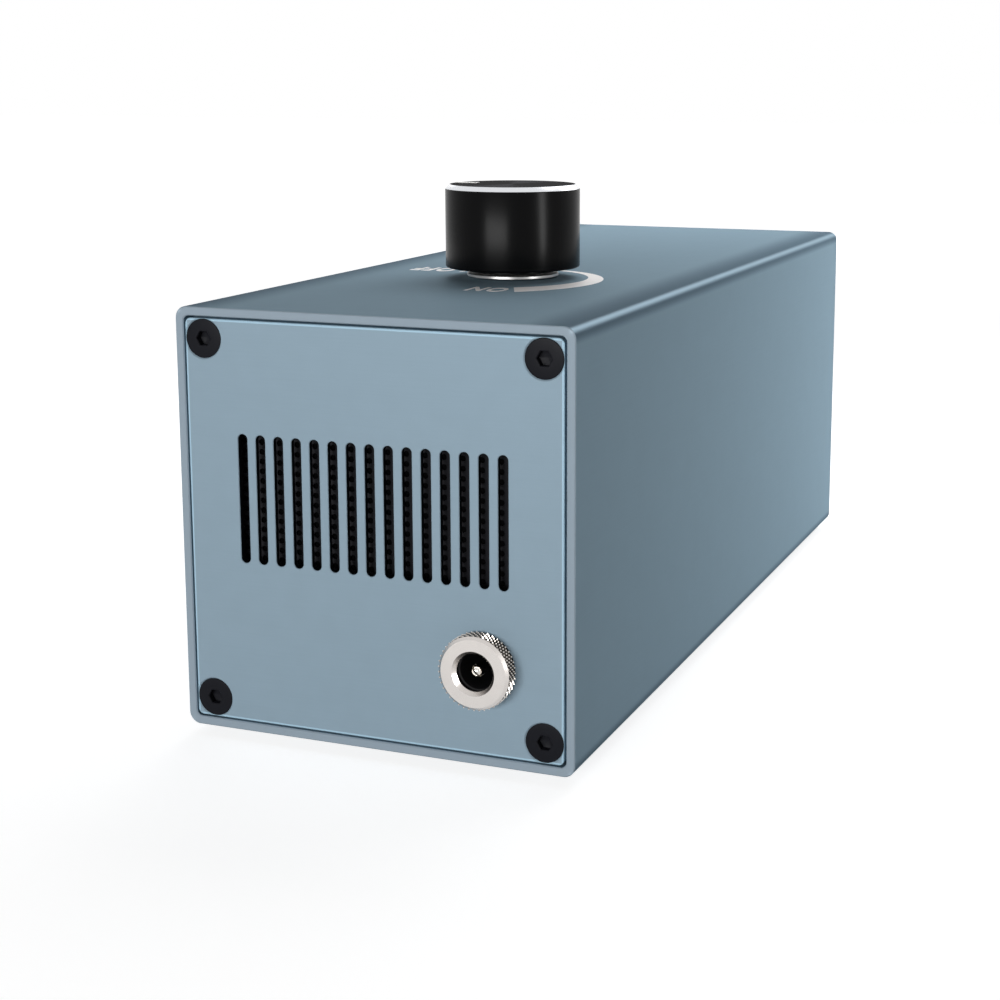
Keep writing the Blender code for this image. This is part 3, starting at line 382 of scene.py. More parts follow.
@dataclass(frozen=True)
class Zoned(Brushed):
    """Brushed metal with a paler cut band that is partly a painted highlight, painted shade in the depths
    where a box for them is set, and shiny long edges with painted shade beside them.

    The border lies outside one box of half sizes about the centre, and the depths inside another.
    The shine is where both X and Z come within edge_shine of edge_half.
    Towards it the colour sinks into painted shade, over a reach from the edges.
    """

    centre: Triple = (0.0, 0.0, 0.0)
    # Paler band: the cut metal's own colour and a painted highlight.
    cut_border_and_highlight: Colour = WHITE
    border_half: Triple = (1.0, 1.0, 1.0)
    # Painted shade for the depths, such as the walls of slots.
    painted_depth_shade: Colour = BLACK
    painted_shade_half: Triple = (0.0, 0.0, 0.0)
    fade: float = 0.05 * MM
    edge_half: tuple[float, float] = (0.0, 0.0)
    edge_metal: float = 0.0
    edge_shine: float = 1.3 * MM
    edge_fade: float = 0.7 * MM
    # Painted shade beside the long edges: its strength, its tone and how far it reaches.
    painted_edge_shade: float = 0.0
    painted_shade_tone: Colour = srgb(14, 44, 66)
    painted_shade_reach: tuple[float, float] = (10.0 * MM, 3.0 * MM)

    def edge(self, paint: Paint, insets: tuple[float, float], end: float) -> Value:
        """Return a mask that rises towards the long edges.

        Args:
            paint: the material's nodes.
            insets: how far from the edges it starts, along X and Z.
            end: how far from the edges it is full.

        Returns:
            The mask, from 0 to 1.
        """
        x, _, z = (abs(place) for place in paint.split(paint.at(self.centre)))
        rows = zip((x, z), self.edge_half, insets)
        near = [place.step(half - inset, half - end) for place, half, inset in rows]
        return near[0] & near[1]

    def shine(self, paint: Paint) -> Value:
        """Return 1 along the crown of the long edges."""
        return self.edge(paint, (self.edge_shine,) * 2, self.edge_shine - self.edge_fade)

    def metal(self, paint: Paint) -> Term:
        """Return how metallic the surface is, which rises on the long edges."""
        extra = self.edge_metal * self.shine(paint) if self.edge_metal else 0.0
        return self.metallic + extra

    def outside(self, paint: Paint, half: Triple) -> Value:
        """Return a mask for what lies outside a box about the centre.

        Args:
            paint: the material's nodes.
            half: the box's half sizes.

        Returns:
            The mask, from 0 to 1.
        """
        places = [abs(place) for place in paint.split(paint.at(self.centre))]
        x, y, z = (place.step(size, size + self.fade) for place, size in zip(places, half))
        return x | y | z

    def tint(self, paint: Paint, shade: Value) -> Value:
        """Return the face's colour with the painted shade by the edges, the pale cut band with its painted
        highlight, and the painted shade of the depths.

        Args:
            paint: the material's nodes.
            shade: the fine change of the colour, from 0 to 1.

        Returns:
            The colour.
        """
        colour = super().tint(paint, shade)
        # Painted shade: the colour sinks towards a blue-black tone in bands beside the shiny edges.
        if self.painted_edge_shade:
            painted_shade = self.edge(paint, self.painted_shade_reach, self.edge_shine) - self.shine(paint)
            colour = paint.mix(self.painted_edge_shade * painted_shade, colour, self.painted_shade_tone)
        # The pale band outside the box: the cut metal's colour with a painted highlight.
        colour = paint.mix(self.outside(paint, self.border_half), colour, self.cut_border_and_highlight)
        # Painted shade: inside the box the colour is replaced by a near-black tone.
        if any(self.painted_shade_half):
            colour = paint.mix(self.outside(paint, self.painted_shade_half), self.painted_depth_shade, colour)
        return colour


@dataclass(frozen=True)
class Turned(Finish):
    """Metal with the rings that a lathe leaves round an axis.

    Folded marks repeat round four axes that mirror each other about the centre.
    """

    axis: Axis = Axis.Z
    centre: Triple = (0.0, 0.0, 0.0)
    fold: tuple[float, float] = (0.0, 0.0)

    def radius(self, paint: Paint) -> Value:
        """Return the distance from the axis.

        Args:
            paint: the material's nodes.

        Returns:
            The distance, in metres.
        """
        places = paint.split(paint.at(self.centre))
        across = [places[i] for i in self.axis.value]
        if any(self.fold):
            across = [abs(place) - shift for place, shift in zip(across, self.fold)]
        return paint.math("SQRT", across[0] * across[0] + across[1] * across[1])

    def height(self, paint: Paint) -> Value:
        """Return the rings, from 0 to 1."""
        return paint.noise(paint.joined(self.radius(paint) / self.grain, 0.0, 0.0), FINE_DETAIL)


@dataclass(frozen=True)
class Knurled(Turned):
    """A knurled band whose teeth shine and whose valleys, from the root radius up, carry painted shade.

    The colour changes on the teeth's flanks, between two shares of their depth.
    """

    # Painted shade in the valleys between the teeth.
    painted_valley_shade: Colour = (0.1, 0.1, 0.1)
    root: float = 1.0
    depth: float = 1.0
    flank: tuple[float, float] = (0.35, 0.9)

    def tint(self, paint: Paint, shade: Value) -> Value:
        """Return the colour of the teeth, with painted shade in the valleys."""
        low, high = (self.root + share * self.depth for share in self.flank)
        return paint.mix(self.radius(paint).step(low, high), self.painted_valley_shade, super().tint(paint, shade))


@dataclass(frozen=True)
class Spun(Turned):
    """A turned face with two bright wedges to the front and the rear, painted highlights where its rings
    would throw light.
    """

    # Painted highlight: the colour of the two wedges.
    painted_wedge_highlight: Colour = (0.1, 0.1, 0.1)
    width: tuple[float, float] = (0.82, 1.0)

    def tint(self, paint: Paint, shade: Value) -> Value:
        """Return the colour of the face and its painted highlight wedges, which widen with the radius.

        Args:
            paint: the material's nodes.
            shade: the fine change of the colour, from 0 to 1.

        Returns:
            The colour.
        """
        _, y, _ = paint.split(paint.at(self.centre))
        share = abs(y) / self.radius(paint)
        # The wedges are painted highlights fixed on the face, so they turn with it.
        return paint.mix(share.step(*self.width), super().tint(paint, shade), self.painted_wedge_highlight)


@dataclass(frozen=True)
class Traced(Finish):
    """A circuit board with paler tracks under its lacquer.

    A track runs for some pitches, and its width is a share of one.
    """

    track: Colour = (0.1, 0.4, 0.2)
    pitch: float = 2.54 * MM
    run: float = 5.0
    width: float = 0.12
    strength: float = 0.7

    def tint(self, paint: Paint, shade: Value) -> Value:
        """Return the lacquer's colour with its tracks.

        Args:
            paint: the material's nodes.
            shade: the fine change of the colour, from 0 to 1.

        Returns:
            The colour.
        """
        at = paint.at(unit=(self.pitch, self.run * self.pitch, self.pitch))
        lines = paint.node("ShaderNodeTexBrick", None, {
            "Vector": at, "Scale": 1.0, "Mortar Size": self.width, "Color1": BLACK, "Color2": BLACK,
            "Mortar": WHITE}, "Fac")
        return paint.mix(lines * self.strength, super().tint(paint, shade), self.track)


class Geo(Net):
    """A Geometry Nodes tree with named inputs that ends in one mesh of one finish, turned to its place."""

    def __init__(self, name: str, inputs: dict[str, str]) -> None:
        """Open the tree.

        Args:
            name: what the tree makes.
            inputs: the kind of socket for each named input of its own.
        """
        super().__init__(bpy.data.node_groups.new(name, "GeometryNodeTree"))
        face = self.tree.interface
        face.new_socket("Geometry", in_out="OUTPUT", socket_type="NodeSocketGeometry")
        self.keys: dict[str, str] = {}
        shared = {"Turn": "Rotation", "Place": "Vector", "Finish": "Material"}
        for label, kind in {"Geometry": "Geometry", **inputs, **shared}.items():
            made = face.new_socket(label, in_out="INPUT", socket_type="NodeSocket" + kind)
            self.keys[label] = made.identifier
        self.start = self.tree.nodes.new("NodeGroupInput")

    def given(self, label: str) -> Value:
        """Return one of the tree's inputs."""
        return Value(self, self.start.outputs[label])

    def shape(self, label: str) -> Value:
        """Return the geometry of an object that is one of the inputs."""
        return self.node("GeometryNodeObjectInfo", None, {"Object": self.given(label)}, "Geometry")

    def spread(self, points: Value, label: str) -> Value:
        """Return an input's shape on each of some points."""
        values = {"Points": points, "Instance": self.shape(label)}
        return self.node("GeometryNodeInstanceOnPoints", None, values)

    def close(self, shape: Value) -> "Geo":
        """Turn the shape to its place, realize its instances, set the finish and end the tree.

        Args:
            shape: what the tree makes, about its own origin.

        Returns:
            The tree itself.
        """
        turned = self.node("GeometryNodeTransform", None, {
            "Geometry": shape, "Rotation": self.given("Turn"), "Translation": self.given("Place")})
        whole = self.node("GeometryNodeRealizeInstances", None, {"Geometry": turned})
        whole = self.node("GeometryNodeSetMaterial", None, {
            "Geometry": whole, "Material": self.given("Finish")})
        end = self.tree.nodes.new("NodeGroupOutput")
        self.feed(end.inputs["Geometry"], whole)
        return self

    def mesh(self, name: str, finish: Finish, place: Sequence[float], aim: Aim = Aim.UP,
             base: bpy.types.Mesh | None = None, **values: object) -> bpy.types.Mesh:
        """Run the tree and return its result as a plain mesh.

        Args:
            name: the mesh's name.
            finish: what the result is made of.
            place: where its origin goes.
            aim: where its +Z points.
            base: the mesh that goes in, if the tree takes one.
            values: the tree's own inputs, with _ for a space in their names.

        Returns:
            The mesh.
        """
        host = put(name + "_host", base or bpy.data.meshes.new(name + "_host"))
        step = host.modifiers.new("Nodes", "NODES")
        step.node_group = self.tree
        values |= {"Turn": aim.value, "Place": tuple(place), "Finish": finish.material()}
        for label, value in values.items():
            step[self.keys[label.replace("_", " ")]] = value
        made = flattened(host, name)
        scrap(host)
        return made


def put(name: str, data: bpy.types.ID) -> bpy.types.Object:
    """Link a new object to the scene at the origin.

    Args:
        name: the object's name.
        data: its mesh, curve, light or camera.

    Returns:
        The object.
    """
    made = bpy.data.objects.new(name, data)
    bpy.context.scene.collection.objects.link(made)
    return made


def scrap(*spent: bpy.types.Object) -> None:
    """Remove objects that have done their work."""
    for one in spent:
        bpy.data.objects.remove(one)


def flattened(host: bpy.types.Object, name: str) -> bpy.types.Mesh:
    """Return an object's evaluated shape as a plain mesh.

    Args:
        host: the object with its modifiers.
        name: the new mesh's name.

    Returns:
        The mesh, smooth but for its sharp edges.
    """
    graph = bpy.context.evaluated_depsgraph_get()
    made = bpy.data.meshes.new_from_object(host.evaluated_get(graph), depsgraph=graph)
    made.name = name
    made.shade_smooth()
    made.set_sharp_from_angle(angle=SHARP_ANGLE)
    return made


def corner_tree() -> Geo:
    """Open the tree that sets a shape on the four corners of a rectangle.

    Returns:
        The tree.
    """
    geo = Geo("four_corners", {"Shape": "Object", "Spread X": "Float", "Spread Y": "Float"})
    grid = geo.node("GeometryNodeMeshGrid", None, {
        "Size X": geo.given("Spread X"), "Size Y": geo.given("Spread Y"), "Vertices X": 2, "Vertices Y": 2})
    return geo.close(geo.spread(grid, "Shape"))


def slot_tree() -> Geo:
    """Open the tree that cuts a row of slots, and one more shape, out of a plate.

    Returns:
        The tree.
    """
    geo = Geo("slotted_plate", {"Slot": "Object", "Holes": "Object", "Count": "Int", "Pitch": "Float",
                                "Rise": "Float"})
    pitch = geo.given("Pitch")
    first = pitch * (geo.given("Count") - 1.0) * -0.5
    row = geo.node("GeometryNodeMeshLine", {"mode": "OFFSET"}, {
        "Count": geo.given("Count"), "Start Location": geo.joined(first, geo.given("Rise"), 0.0),
        "Offset": geo.joined(pitch, 0.0, 0.0)})
    slots = geo.node("GeometryNodeRealizeInstances", None, {"Geometry": geo.spread(row, "Slot")})
    cut = geo.node("GeometryNodeMeshBoolean", {"operation": "DIFFERENCE", "solver": "EXACT"}, {
        "Mesh 1": geo.given("Geometry"), "Mesh 2": [slots, geo.shape("Holes")]})
    return geo.close(cut)


def sheet_tree() -> Geo:
    """Open the tree that makes a thin sheet with rows of round holes.

    Returns:
        The tree.
    """
    geo = Geo("perforated_sheet", {"Width": "Float", "Height": "Float", "Columns": "Int", "Rows": "Int",
                                   "Open": "Float", "Thickness": "Float"})
    grid = geo.node("GeometryNodeMeshGrid", None, {
        "Size X": geo.given("Width"), "Size Y": geo.given("Height"),
        "Vertices X": geo.given("Columns") + 1.0, "Vertices Y": geo.given("Rows") + 1.0})
    inset = geo.node("GeometryNodeExtrudeMesh", {"mode": "FACES"}, {
        "Mesh": grid, "Offset Scale": 0.0, "Individual": True})
    holes = inset.other("Top")
    inset = geo.node("GeometryNodeScaleElements", {"domain": "FACE"}, {
        "Geometry": inset, "Selection": holes, "Scale": geo.given("Open")})
    flat = geo.node("GeometryNodeDeleteGeometry", {"domain": "FACE"}, {"Geometry": inset, "Selection": holes})
    flat = geo.node("GeometryNodeSubdivisionSurface", {"boundary_smooth": "PRESERVE_CORNERS"}, {
        "Mesh": flat, "Level": 1})
    wall = geo.node("GeometryNodeExtrudeMesh", {"mode": "FACES"}, {
        "Mesh": flat, "Offset Scale": geo.given("Thickness"), "Individual": False})
    back = geo.node("GeometryNodeFlipFaces", None, {"Mesh": flat})
    whole = geo.node("GeometryNodeJoinGeometry", None, {"Geometry": [wall, back]})
    return geo.close(geo.node("GeometryNodeMergeByDistance", None, {"Geometry": whole, "Distance": MERGE}))


def knurl_tree() -> Geo:
    """Open the tree that raises crossed ridges on a turned band whose axis is +Z.

    The band is where the mesh's attribute of that name is 1.

    Returns:
        The tree.
    """
    geo = Geo("diamond_knurl", {"Teeth": "Float", "Lead": "Float", "Depth": "Float"})
    x, y, z = geo.split(geo.node("GeometryNodeInputPosition"))
    angle = geo.math("ARCTAN2", y, x) * geo.given("Teeth") / FULL_TURN
    climb = z / geo.given("Lead")
    ridges = [abs(geo.math("FRACT", phase) * 2.0 - 1.0) for phase in (angle + climb, angle - climb)]
    band = geo.node("GeometryNodeInputNamedAttribute", {"data_type": "FLOAT"}, {"Name": "band"})
    rise = (ridges[0] & ridges[1]) * band * geo.given("Depth")
    radius = geo.math("SQRT", x * x + y * y)
    offset = geo.joined(x / radius * rise, y / radius * rise, 0.0)
    values = {"Geometry": geo.given("Geometry"), "Offset": offset}
    return geo.close(geo.node("GeometryNodeSetPosition", None, values))


def circle(radius: float, height: float, count: int) -> Ring:
    """Return a ring of points about the Z axis."""
    turns = [FULL_TURN * i / count for i in range(count)]
    return [Vector((radius * math.cos(a), radius * math.sin(a), height)) for a in turns]


def hexagon(half: float, height: float, count: int, limit: float = math.inf) -> Ring:
    """Return a hexagon about the Z axis, sampled at as many points as a circle.

    Args:
        half: half of its width across flats.
        height: its height.
        count: how many points it has.
        limit: the radius that its corners are cut back to.

    Returns:
        The ring.
    """
    side = math.pi / 3
    made = []
    for i in range(count):
        angle = FULL_TURN * i / count
        radius = min(half / math.cos(angle % side - side / 2), limit)
        made.append(Vector((radius * math.cos(angle), radius * math.sin(angle), height)))
    return made


def rounded(width: float, height: float, radius: float, steps: int = 8) -> Outline:
    """Return a rectangle with round corners about the middle.

    Args:
        width: its size along the first axis.
        height: its size along the second.
        radius: the radius of its corners.
        steps: how many pieces each corner has.

    Returns:
        The outline, counterclockwise.
    """
    made = []
    for corner, (sx, sy) in enumerate(((1, 1), (-1, 1), (-1, -1), (1, -1))):
        for i in range(steps + 1):
            angle = math.pi / 2 * (corner + i / steps)
            made.append((sx * (width / 2 - radius) + radius * math.cos(angle),
                         sy * (height / 2 - radius) + radius * math.sin(angle)))
    return made


def lifted(outline: Outline, height: float) -> Ring:
    """Return a flat outline at a height."""
    return [Vector((x, y, height)) for x, y in outline]


def bend(middle: tuple[float, float], radius: float, start: float, end: float,
         steps: int = 6) -> list[tuple[float, float]]:
    """Return the points of a rounded edge in a turned profile.

    Args:
        middle: the centre of the arc, as radius and height.
        radius: the arc's radius.
        start: its first angle in degrees, where 0 points outwards and 90 up.
        end: its last angle in degrees.
        steps: how many pieces it has.

    Returns:
        The points as radius and height.
    """
    angles = [math.radians(start + (end - start) * i / steps) for i in range(steps + 1)]
    return [(middle[0] + radius * math.cos(a), middle[1] + radius * math.sin(a)) for a in angles]


def loft(rings: list[Ring], closed: bool = False, skins: Sequence[int] | None = None) -> bmesh.types.BMesh:
    """Join rings of equal count by bands of faces.

    Args:
        rings: the rings in order.
        closed: whether the last ring meets the first, as in a tube, or both ends are capped.
        skins: the material of each band, if the shape has more than one.

    Returns:
        The shape.
    """
    shape = bmesh.new()
    rows = [[shape.verts.new(point) for point in ring] for ring in rings]
    count = len(rows[0])
    pairs = list(zip(rows, rows[1:] + rows[:1])) if closed else list(zip(rows, rows[1:]))
    for band, (low, high) in enumerate(pairs):
        for i in range(count):
            face = shape.faces.new((low[i], low[(i + 1) % count], high[(i + 1) % count], high[i]))
            face.material_index = skins[band] if skins else 0
    if not closed:
        for cap, band in ((rows[0], 0), (rows[-1], -1)):
            face = shape.faces.new(cap)
            face.material_index = skins[band] if skins else 0
    return shape


def lathe(profile: list[tuple[float, float]], count: int, closed: bool = False,
          skins: Sequence[int] | None = None) -> bmesh.types.BMesh:
    """Turn a profile of radius and height about the Z axis."""
    return loft([circle(r, h, count) for r, h in profile], closed, skins)


def prism(outline: Outline, start: float, end: float) -> bmesh.types.BMesh:
    """Draw a flat outline from one height to another."""
    return loft([lifted(outline, start), lifted(outline, end)])


def together(shapes: Sequence[bmesh.types.BMesh],
             places: Sequence[Triple] | None = None) -> bmesh.types.BMesh:
    """Gather several shapes in one.

    Args:
        shapes: the shapes, which are used up.
        places: how far each is moved.

    Returns:
        The one shape.
    """
    whole = bmesh.new()
    for i, shape in enumerate(shapes):
        if places:
            bmesh.ops.translate(shape, verts=shape.verts, vec=places[i])
        part = bpy.data.meshes.new("part")
        shape.to_mesh(part)
        shape.free()
        whole.from_mesh(part)
        bpy.data.meshes.remove(part)
    return whole


def as_mesh(name: str, shape: bmesh.types.BMesh, place: Sequence[float] = (0.0, 0.0, 0.0),
            aim: Aim = Aim.UP) -> bpy.types.Mesh:
    """Close a shape, turn it to its place and return it as a mesh.

    Args:
        name: the mesh's name.
        shape: the shape, which is used up.
        place: where its origin goes.
        aim: where its +Z points.

    Returns:
        The mesh, smooth but for its sharp edges.
    """
    bmesh.ops.remove_doubles(shape, verts=shape.verts, dist=MERGE)
    bmesh.ops.recalc_face_normals(shape, faces=shape.faces)
    shape.transform(aim.matrix(place))
    made = bpy.data.meshes.new(name)
    shape.to_mesh(made)
    shape.free()
    made.shade_smooth()
    made.set_sharp_from_angle(angle=SHARP_ANGLE)
    return made


def combined(mesh: bpy.types.Mesh, tool: bpy.types.Mesh, operation: str = "DIFFERENCE") -> bpy.types.Mesh:
    """Cut one mesh by another, or join them.

    Args:
        mesh: the mesh that is worked on, which is used up.
        tool: the other mesh, which is used up.
        operation: the Boolean's operation.

    Returns:
        The result.
    """
    name = mesh.name
    host = put("host", mesh)
    cutter = put("cutter", tool)
    step = host.modifiers.new("Boolean", "BOOLEAN")
    step.operation = operation
    step.solver = "EXACT"
    step.object = cutter
    made = flattened(host, name + "_cut")
    scrap(host, cutter)
    bpy.data.meshes.remove(mesh)
    bpy.data.meshes.remove(tool)
    made.name = name
    return made


def seat(name: str, mesh: bpy.types.Mesh, finishes: Finish | Sequence[Finish], body: Body,
         *nodes: str) -> None:
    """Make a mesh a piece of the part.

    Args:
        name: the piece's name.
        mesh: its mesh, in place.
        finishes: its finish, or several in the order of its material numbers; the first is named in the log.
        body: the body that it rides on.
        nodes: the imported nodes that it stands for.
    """
    coats = [finishes] if isinstance(finishes, Finish) else list(finishes)
    piece = put(name, mesh)
    if not mesh.materials:
        for coat in coats:
            mesh.materials.append(coat.material())
    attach(piece, body.value)
    if nodes:
        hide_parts(*nodes)
    LOG.info("%s: %d faces, %s, on %s", name, len(mesh.polygons), coats[0].name, body.value)


def middle_of(node: str) -> Vector:
    """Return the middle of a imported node's box."""
    low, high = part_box(node)
    return (Vector(low) + Vector(high)) / 2


def size_of(node: str) -> Vector:
    """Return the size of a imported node's box."""
    low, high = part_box(node)
    return Vector(high) - Vector(low)


CASE_LOW, CASE_HIGH = (Vector(corner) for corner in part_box("body_shell"))
CASE_MIDDLE = (CASE_LOW + CASE_HIGH) / 2
CASE_HALF = CASE_HIGH - CASE_MIDDLE
PLATE_SIZE = size_of("jack_end_plate")
KNOB_AXIS = middle_of("knob")
JACK_AXIS = middle_of("jack_shell")
BARB_AXIS = middle_of("outlet_barb")
SCREW_AXIS = middle_of("jack_end_screw_2")
SCREW_REACH = abs(SCREW_AXIS.x)
SCREW_RISE = abs(SCREW_AXIS.z - CASE_MIDDLE.z)
CORNERS = ((-1, -1), (-1, 1), (1, -1), (1, 1))
SCREW_PLACES = [(side * SCREW_REACH, level * SCREW_RISE, 0.0) for side, level in CORNERS]
SHEET_NODES = ("intake_mesh", "exhaust_mesh")
SLOT_FIELD = size_of("intake_mesh") / 2
SLOT_REACH = SLOT_FIELD.z + max(abs(middle_of(node).z - CASE_MIDDLE.z) for node in SHEET_NODES)
# The outer PLATE_LAND of the plate's face takes the pale band, a painted highlight.
PLATE_LAND = 0.4 * MM
# The slot walls deeper than PLATE_WALL behind the plate's face take painted shade.
PLATE_WALL = 0.2 * MM
PLATE_DEPTH = CASE_MIDDLE.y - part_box("jack_end_plate")[0][1] - PLATE_WALL
RIM_EDGE = 0.18 * MM
NECK_BORE = 4.8 * MM
JACK_HOLE = 5.7 * MM
BARB_HOLE = 4.8 * MM
KNURL_ROOT = 5.75 * MM
KNURL_DEPTH = 0.45 * MM
CONE_SLOPE = math.sqrt(3.0)

# The case carries painted shade beside its long edges, and its rim band is partly a painted highlight.
CASE_BLUE = Zoned(
    "case_anodised", "anodised", srgb(142, 166, 181), 0.5, metallic=0.08, gloss=0.0, grain=0.22 * MM,
    relief=0.0015 * MM, drift=0.05, spread=0.1, lay=Lay.ALONG_Y, centre=tuple(CASE_MIDDLE),
    cut_border_and_highlight=srgb(154, 169, 181), border_half=(1.0, CASE_HALF.y - RIM_EDGE, 1.0),
    edge_half=(CASE_HALF.x, CASE_HALF.z), edge_metal=0.42, painted_edge_shade=0.5)
# The plate's slot walls carry painted shade, and its pale outer land is a painted highlight.
PLATE_BLUE = Zoned(
    "plate_anodised", "anodised", srgb(146, 167, 181), 0.46, metallic=0.12, gloss=0.0, grain=0.16 * MM,
    relief=0.002 * MM, drift=0.06, spread=0.1, centre=tuple(CASE_MIDDLE), cut_border_and_highlight=srgb(172, 203, 221),
    border_half=(PLATE_SIZE.x / 2 - PLATE_LAND, 1.0, PLATE_SIZE.z / 2 - PLATE_LAND),
    painted_depth_shade=srgb(24, 27, 31), painted_shade_half=(SLOT_FIELD.x, PLATE_DEPTH, SLOT_REACH))
SCREW_BLACK = Turned(
    "black_oxide", "screw_black", srgb(25, 26, 31), 0.38, gloss=0.06, grain=0.12 * MM, relief=0.004 * MM,
    axis=Axis.Y, centre=(0.0, 0.0, CASE_MIDDLE.z), fold=(SCREW_REACH, SCREW_RISE))
MESH_BLACK = Finish("painted_mesh", "mesh_black", srgb(40, 40, 46), 0.55, gloss=0.2, grain=0.2 * MM)
CLOTH_BLACK = Finish(
    "filter_cloth", "mesh_black", srgb(10, 10, 12), 0.9, gloss=0.1, grain=0.12 * MM, relief=0.03 * MM)
NICKEL = Turned(
    "satin_nickel", "nickel", srgb(206, 201, 197), 0.26, metallic=1.0, grain=0.07 * MM, relief=0.0015 * MM,
    drift=0.05, axis=Axis.Y, centre=tuple(JACK_AXIS))
# The knurl's valleys carry painted shade.
KNURL = Knurled(
    "knurled_nickel", "nickel", srgb(226, 220, 213), 0.16, metallic=1.0, grain=0.07 * MM, relief=0.0015 * MM,
    drift=0.05, axis=Axis.Y, centre=tuple(JACK_AXIS), painted_valley_shade=srgb(42, 37, 33), root=KNURL_ROOT,
    depth=KNURL_DEPTH)
WASHER_NICKEL = Turned(
    "washer_nickel", "nickel", srgb(208, 206, 204), 0.32, metallic=1.0, grain=0.1 * MM, relief=0.0015 * MM,
    drift=0.05, centre=tuple(KNOB_AXIS))
BARB_NICKEL = Turned(
    "barb_nickel", "nickel", srgb(158, 155, 150), 0.28, metallic=1.0, grain=0.1 * MM, relief=0.0015 * MM,
    drift=0.05, axis=Axis.Y, centre=tuple(BARB_AXIS))
PIN_BRIGHT = Finish("pin_bright", "nickel", srgb(212, 209, 203), 0.14, metallic=1.0, relief=0.001 * MM)
JACK_BLACK = Finish("jack_insulator", "black_plastic", srgb(16, 16, 18), 0.5, gloss=0.3)
PLASTIC_BLACK = Finish("black_plastic", "black_plastic", srgb(26, 26, 28), 0.5, gloss=0.35)
KNOB_BLACK = Finish(
    "knob_anodised", "knob_black", srgb(9, 9, 10), 0.24, gloss=0.06, grain=0.12 * MM, relief=0.001 * MM)
# The knob's top carries two painted highlight wedges.
KNOB_TOP = Spun(
    "knob_spun_top", "knob_black", srgb(13, 13, 15), 0.3, metallic=0.08, gloss=0.0, grain=0.09 * MM,
    relief=0.006 * MM, drift=0.3, centre=tuple(KNOB_AXIS), painted_wedge_highlight=srgb(58, 58, 62))
KNOB_CUT = Turned(
    "knob_bright_cut", "knob_black", srgb(220, 222, 226), 0.24, metallic=1.0, grain=0.05 * MM,
    relief=0.001 * MM, drift=0.04, centre=tuple(KNOB_AXIS))
INK_WHITE = Finish("printed_ink", "anodised", srgb(252, 249, 248), 0.5, grain=0.15 * MM, drift=0.03)
INDEX_WHITE = Finish("index_paint", "knob_black", srgb(236, 235, 232), 0.3, grain=0.15 * MM, drift=0.03)
RUBBER = Finish(
    "foot_rubber", "rubber", srgb(28, 28, 29), 0.8, gloss=0.25, grain=0.3 * MM, relief=0.02 * MM)
STEEL = Brushed(
    "zinc_steel", "steel", srgb(176, 178, 180), 0.34, metallic=1.0, grain=0.2 * MM, relief=0.002 * MM,
    lay=Lay.ALONG_Y)
COPPER = Turned(
    "wound_copper", "copper", srgb(178, 104, 62), 0.35, metallic=0.9, grain=0.5 * MM, relief=0.05 * MM,
    drift=0.2, axis=Axis.Y, centre=tuple(middle_of("armature")))
FERRITE = Finish("ferrite_magnet", "ferrite", srgb(52, 52, 56), 0.6, grain=0.5 * MM, relief=0.02 * MM)
CAST = Finish(
    "cast_alloy", "cast", srgb(160, 162, 164), 0.55, metallic=0.85, grain=0.6 * MM, relief=0.03 * MM)
SILICONE = Finish("silicone_hose", "silicone", srgb(212, 210, 204), 0.42, gloss=0.4, grain=0.6 * MM)
BOARD = Traced("board_lacquer", "board", srgb(24, 82, 52), 0.32, track=srgb(52, 128, 84))
WIRE_RED = Finish("wire_red", "wire_red", srgb(168, 28, 26), 0.42, gloss=0.45, grain=0.5 * MM)
WIRE_BLACK = Finish("wire_black", "wire_black", srgb(24, 24, 25), 0.45, gloss=0.4, grain=0.5 * MM)

INSIDE_FINISHES = {
    "rubber": RUBBER, "nickel": BARB_NICKEL, "black_plastic": PLASTIC_BLACK, "steel": STEEL, "board": BOARD,
    "wire_red": WIRE_RED, "wire_black": WIRE_BLACK, "copper": COPPER, "ferrite": FERRITE, "cast": CAST,
    "silicone": SILICONE}


def on_knob_axis(height: float) -> Triple:
    """Return the point of the knob's axis at a height."""
    return KNOB_AXIS.x, KNOB_AXIS.y, height


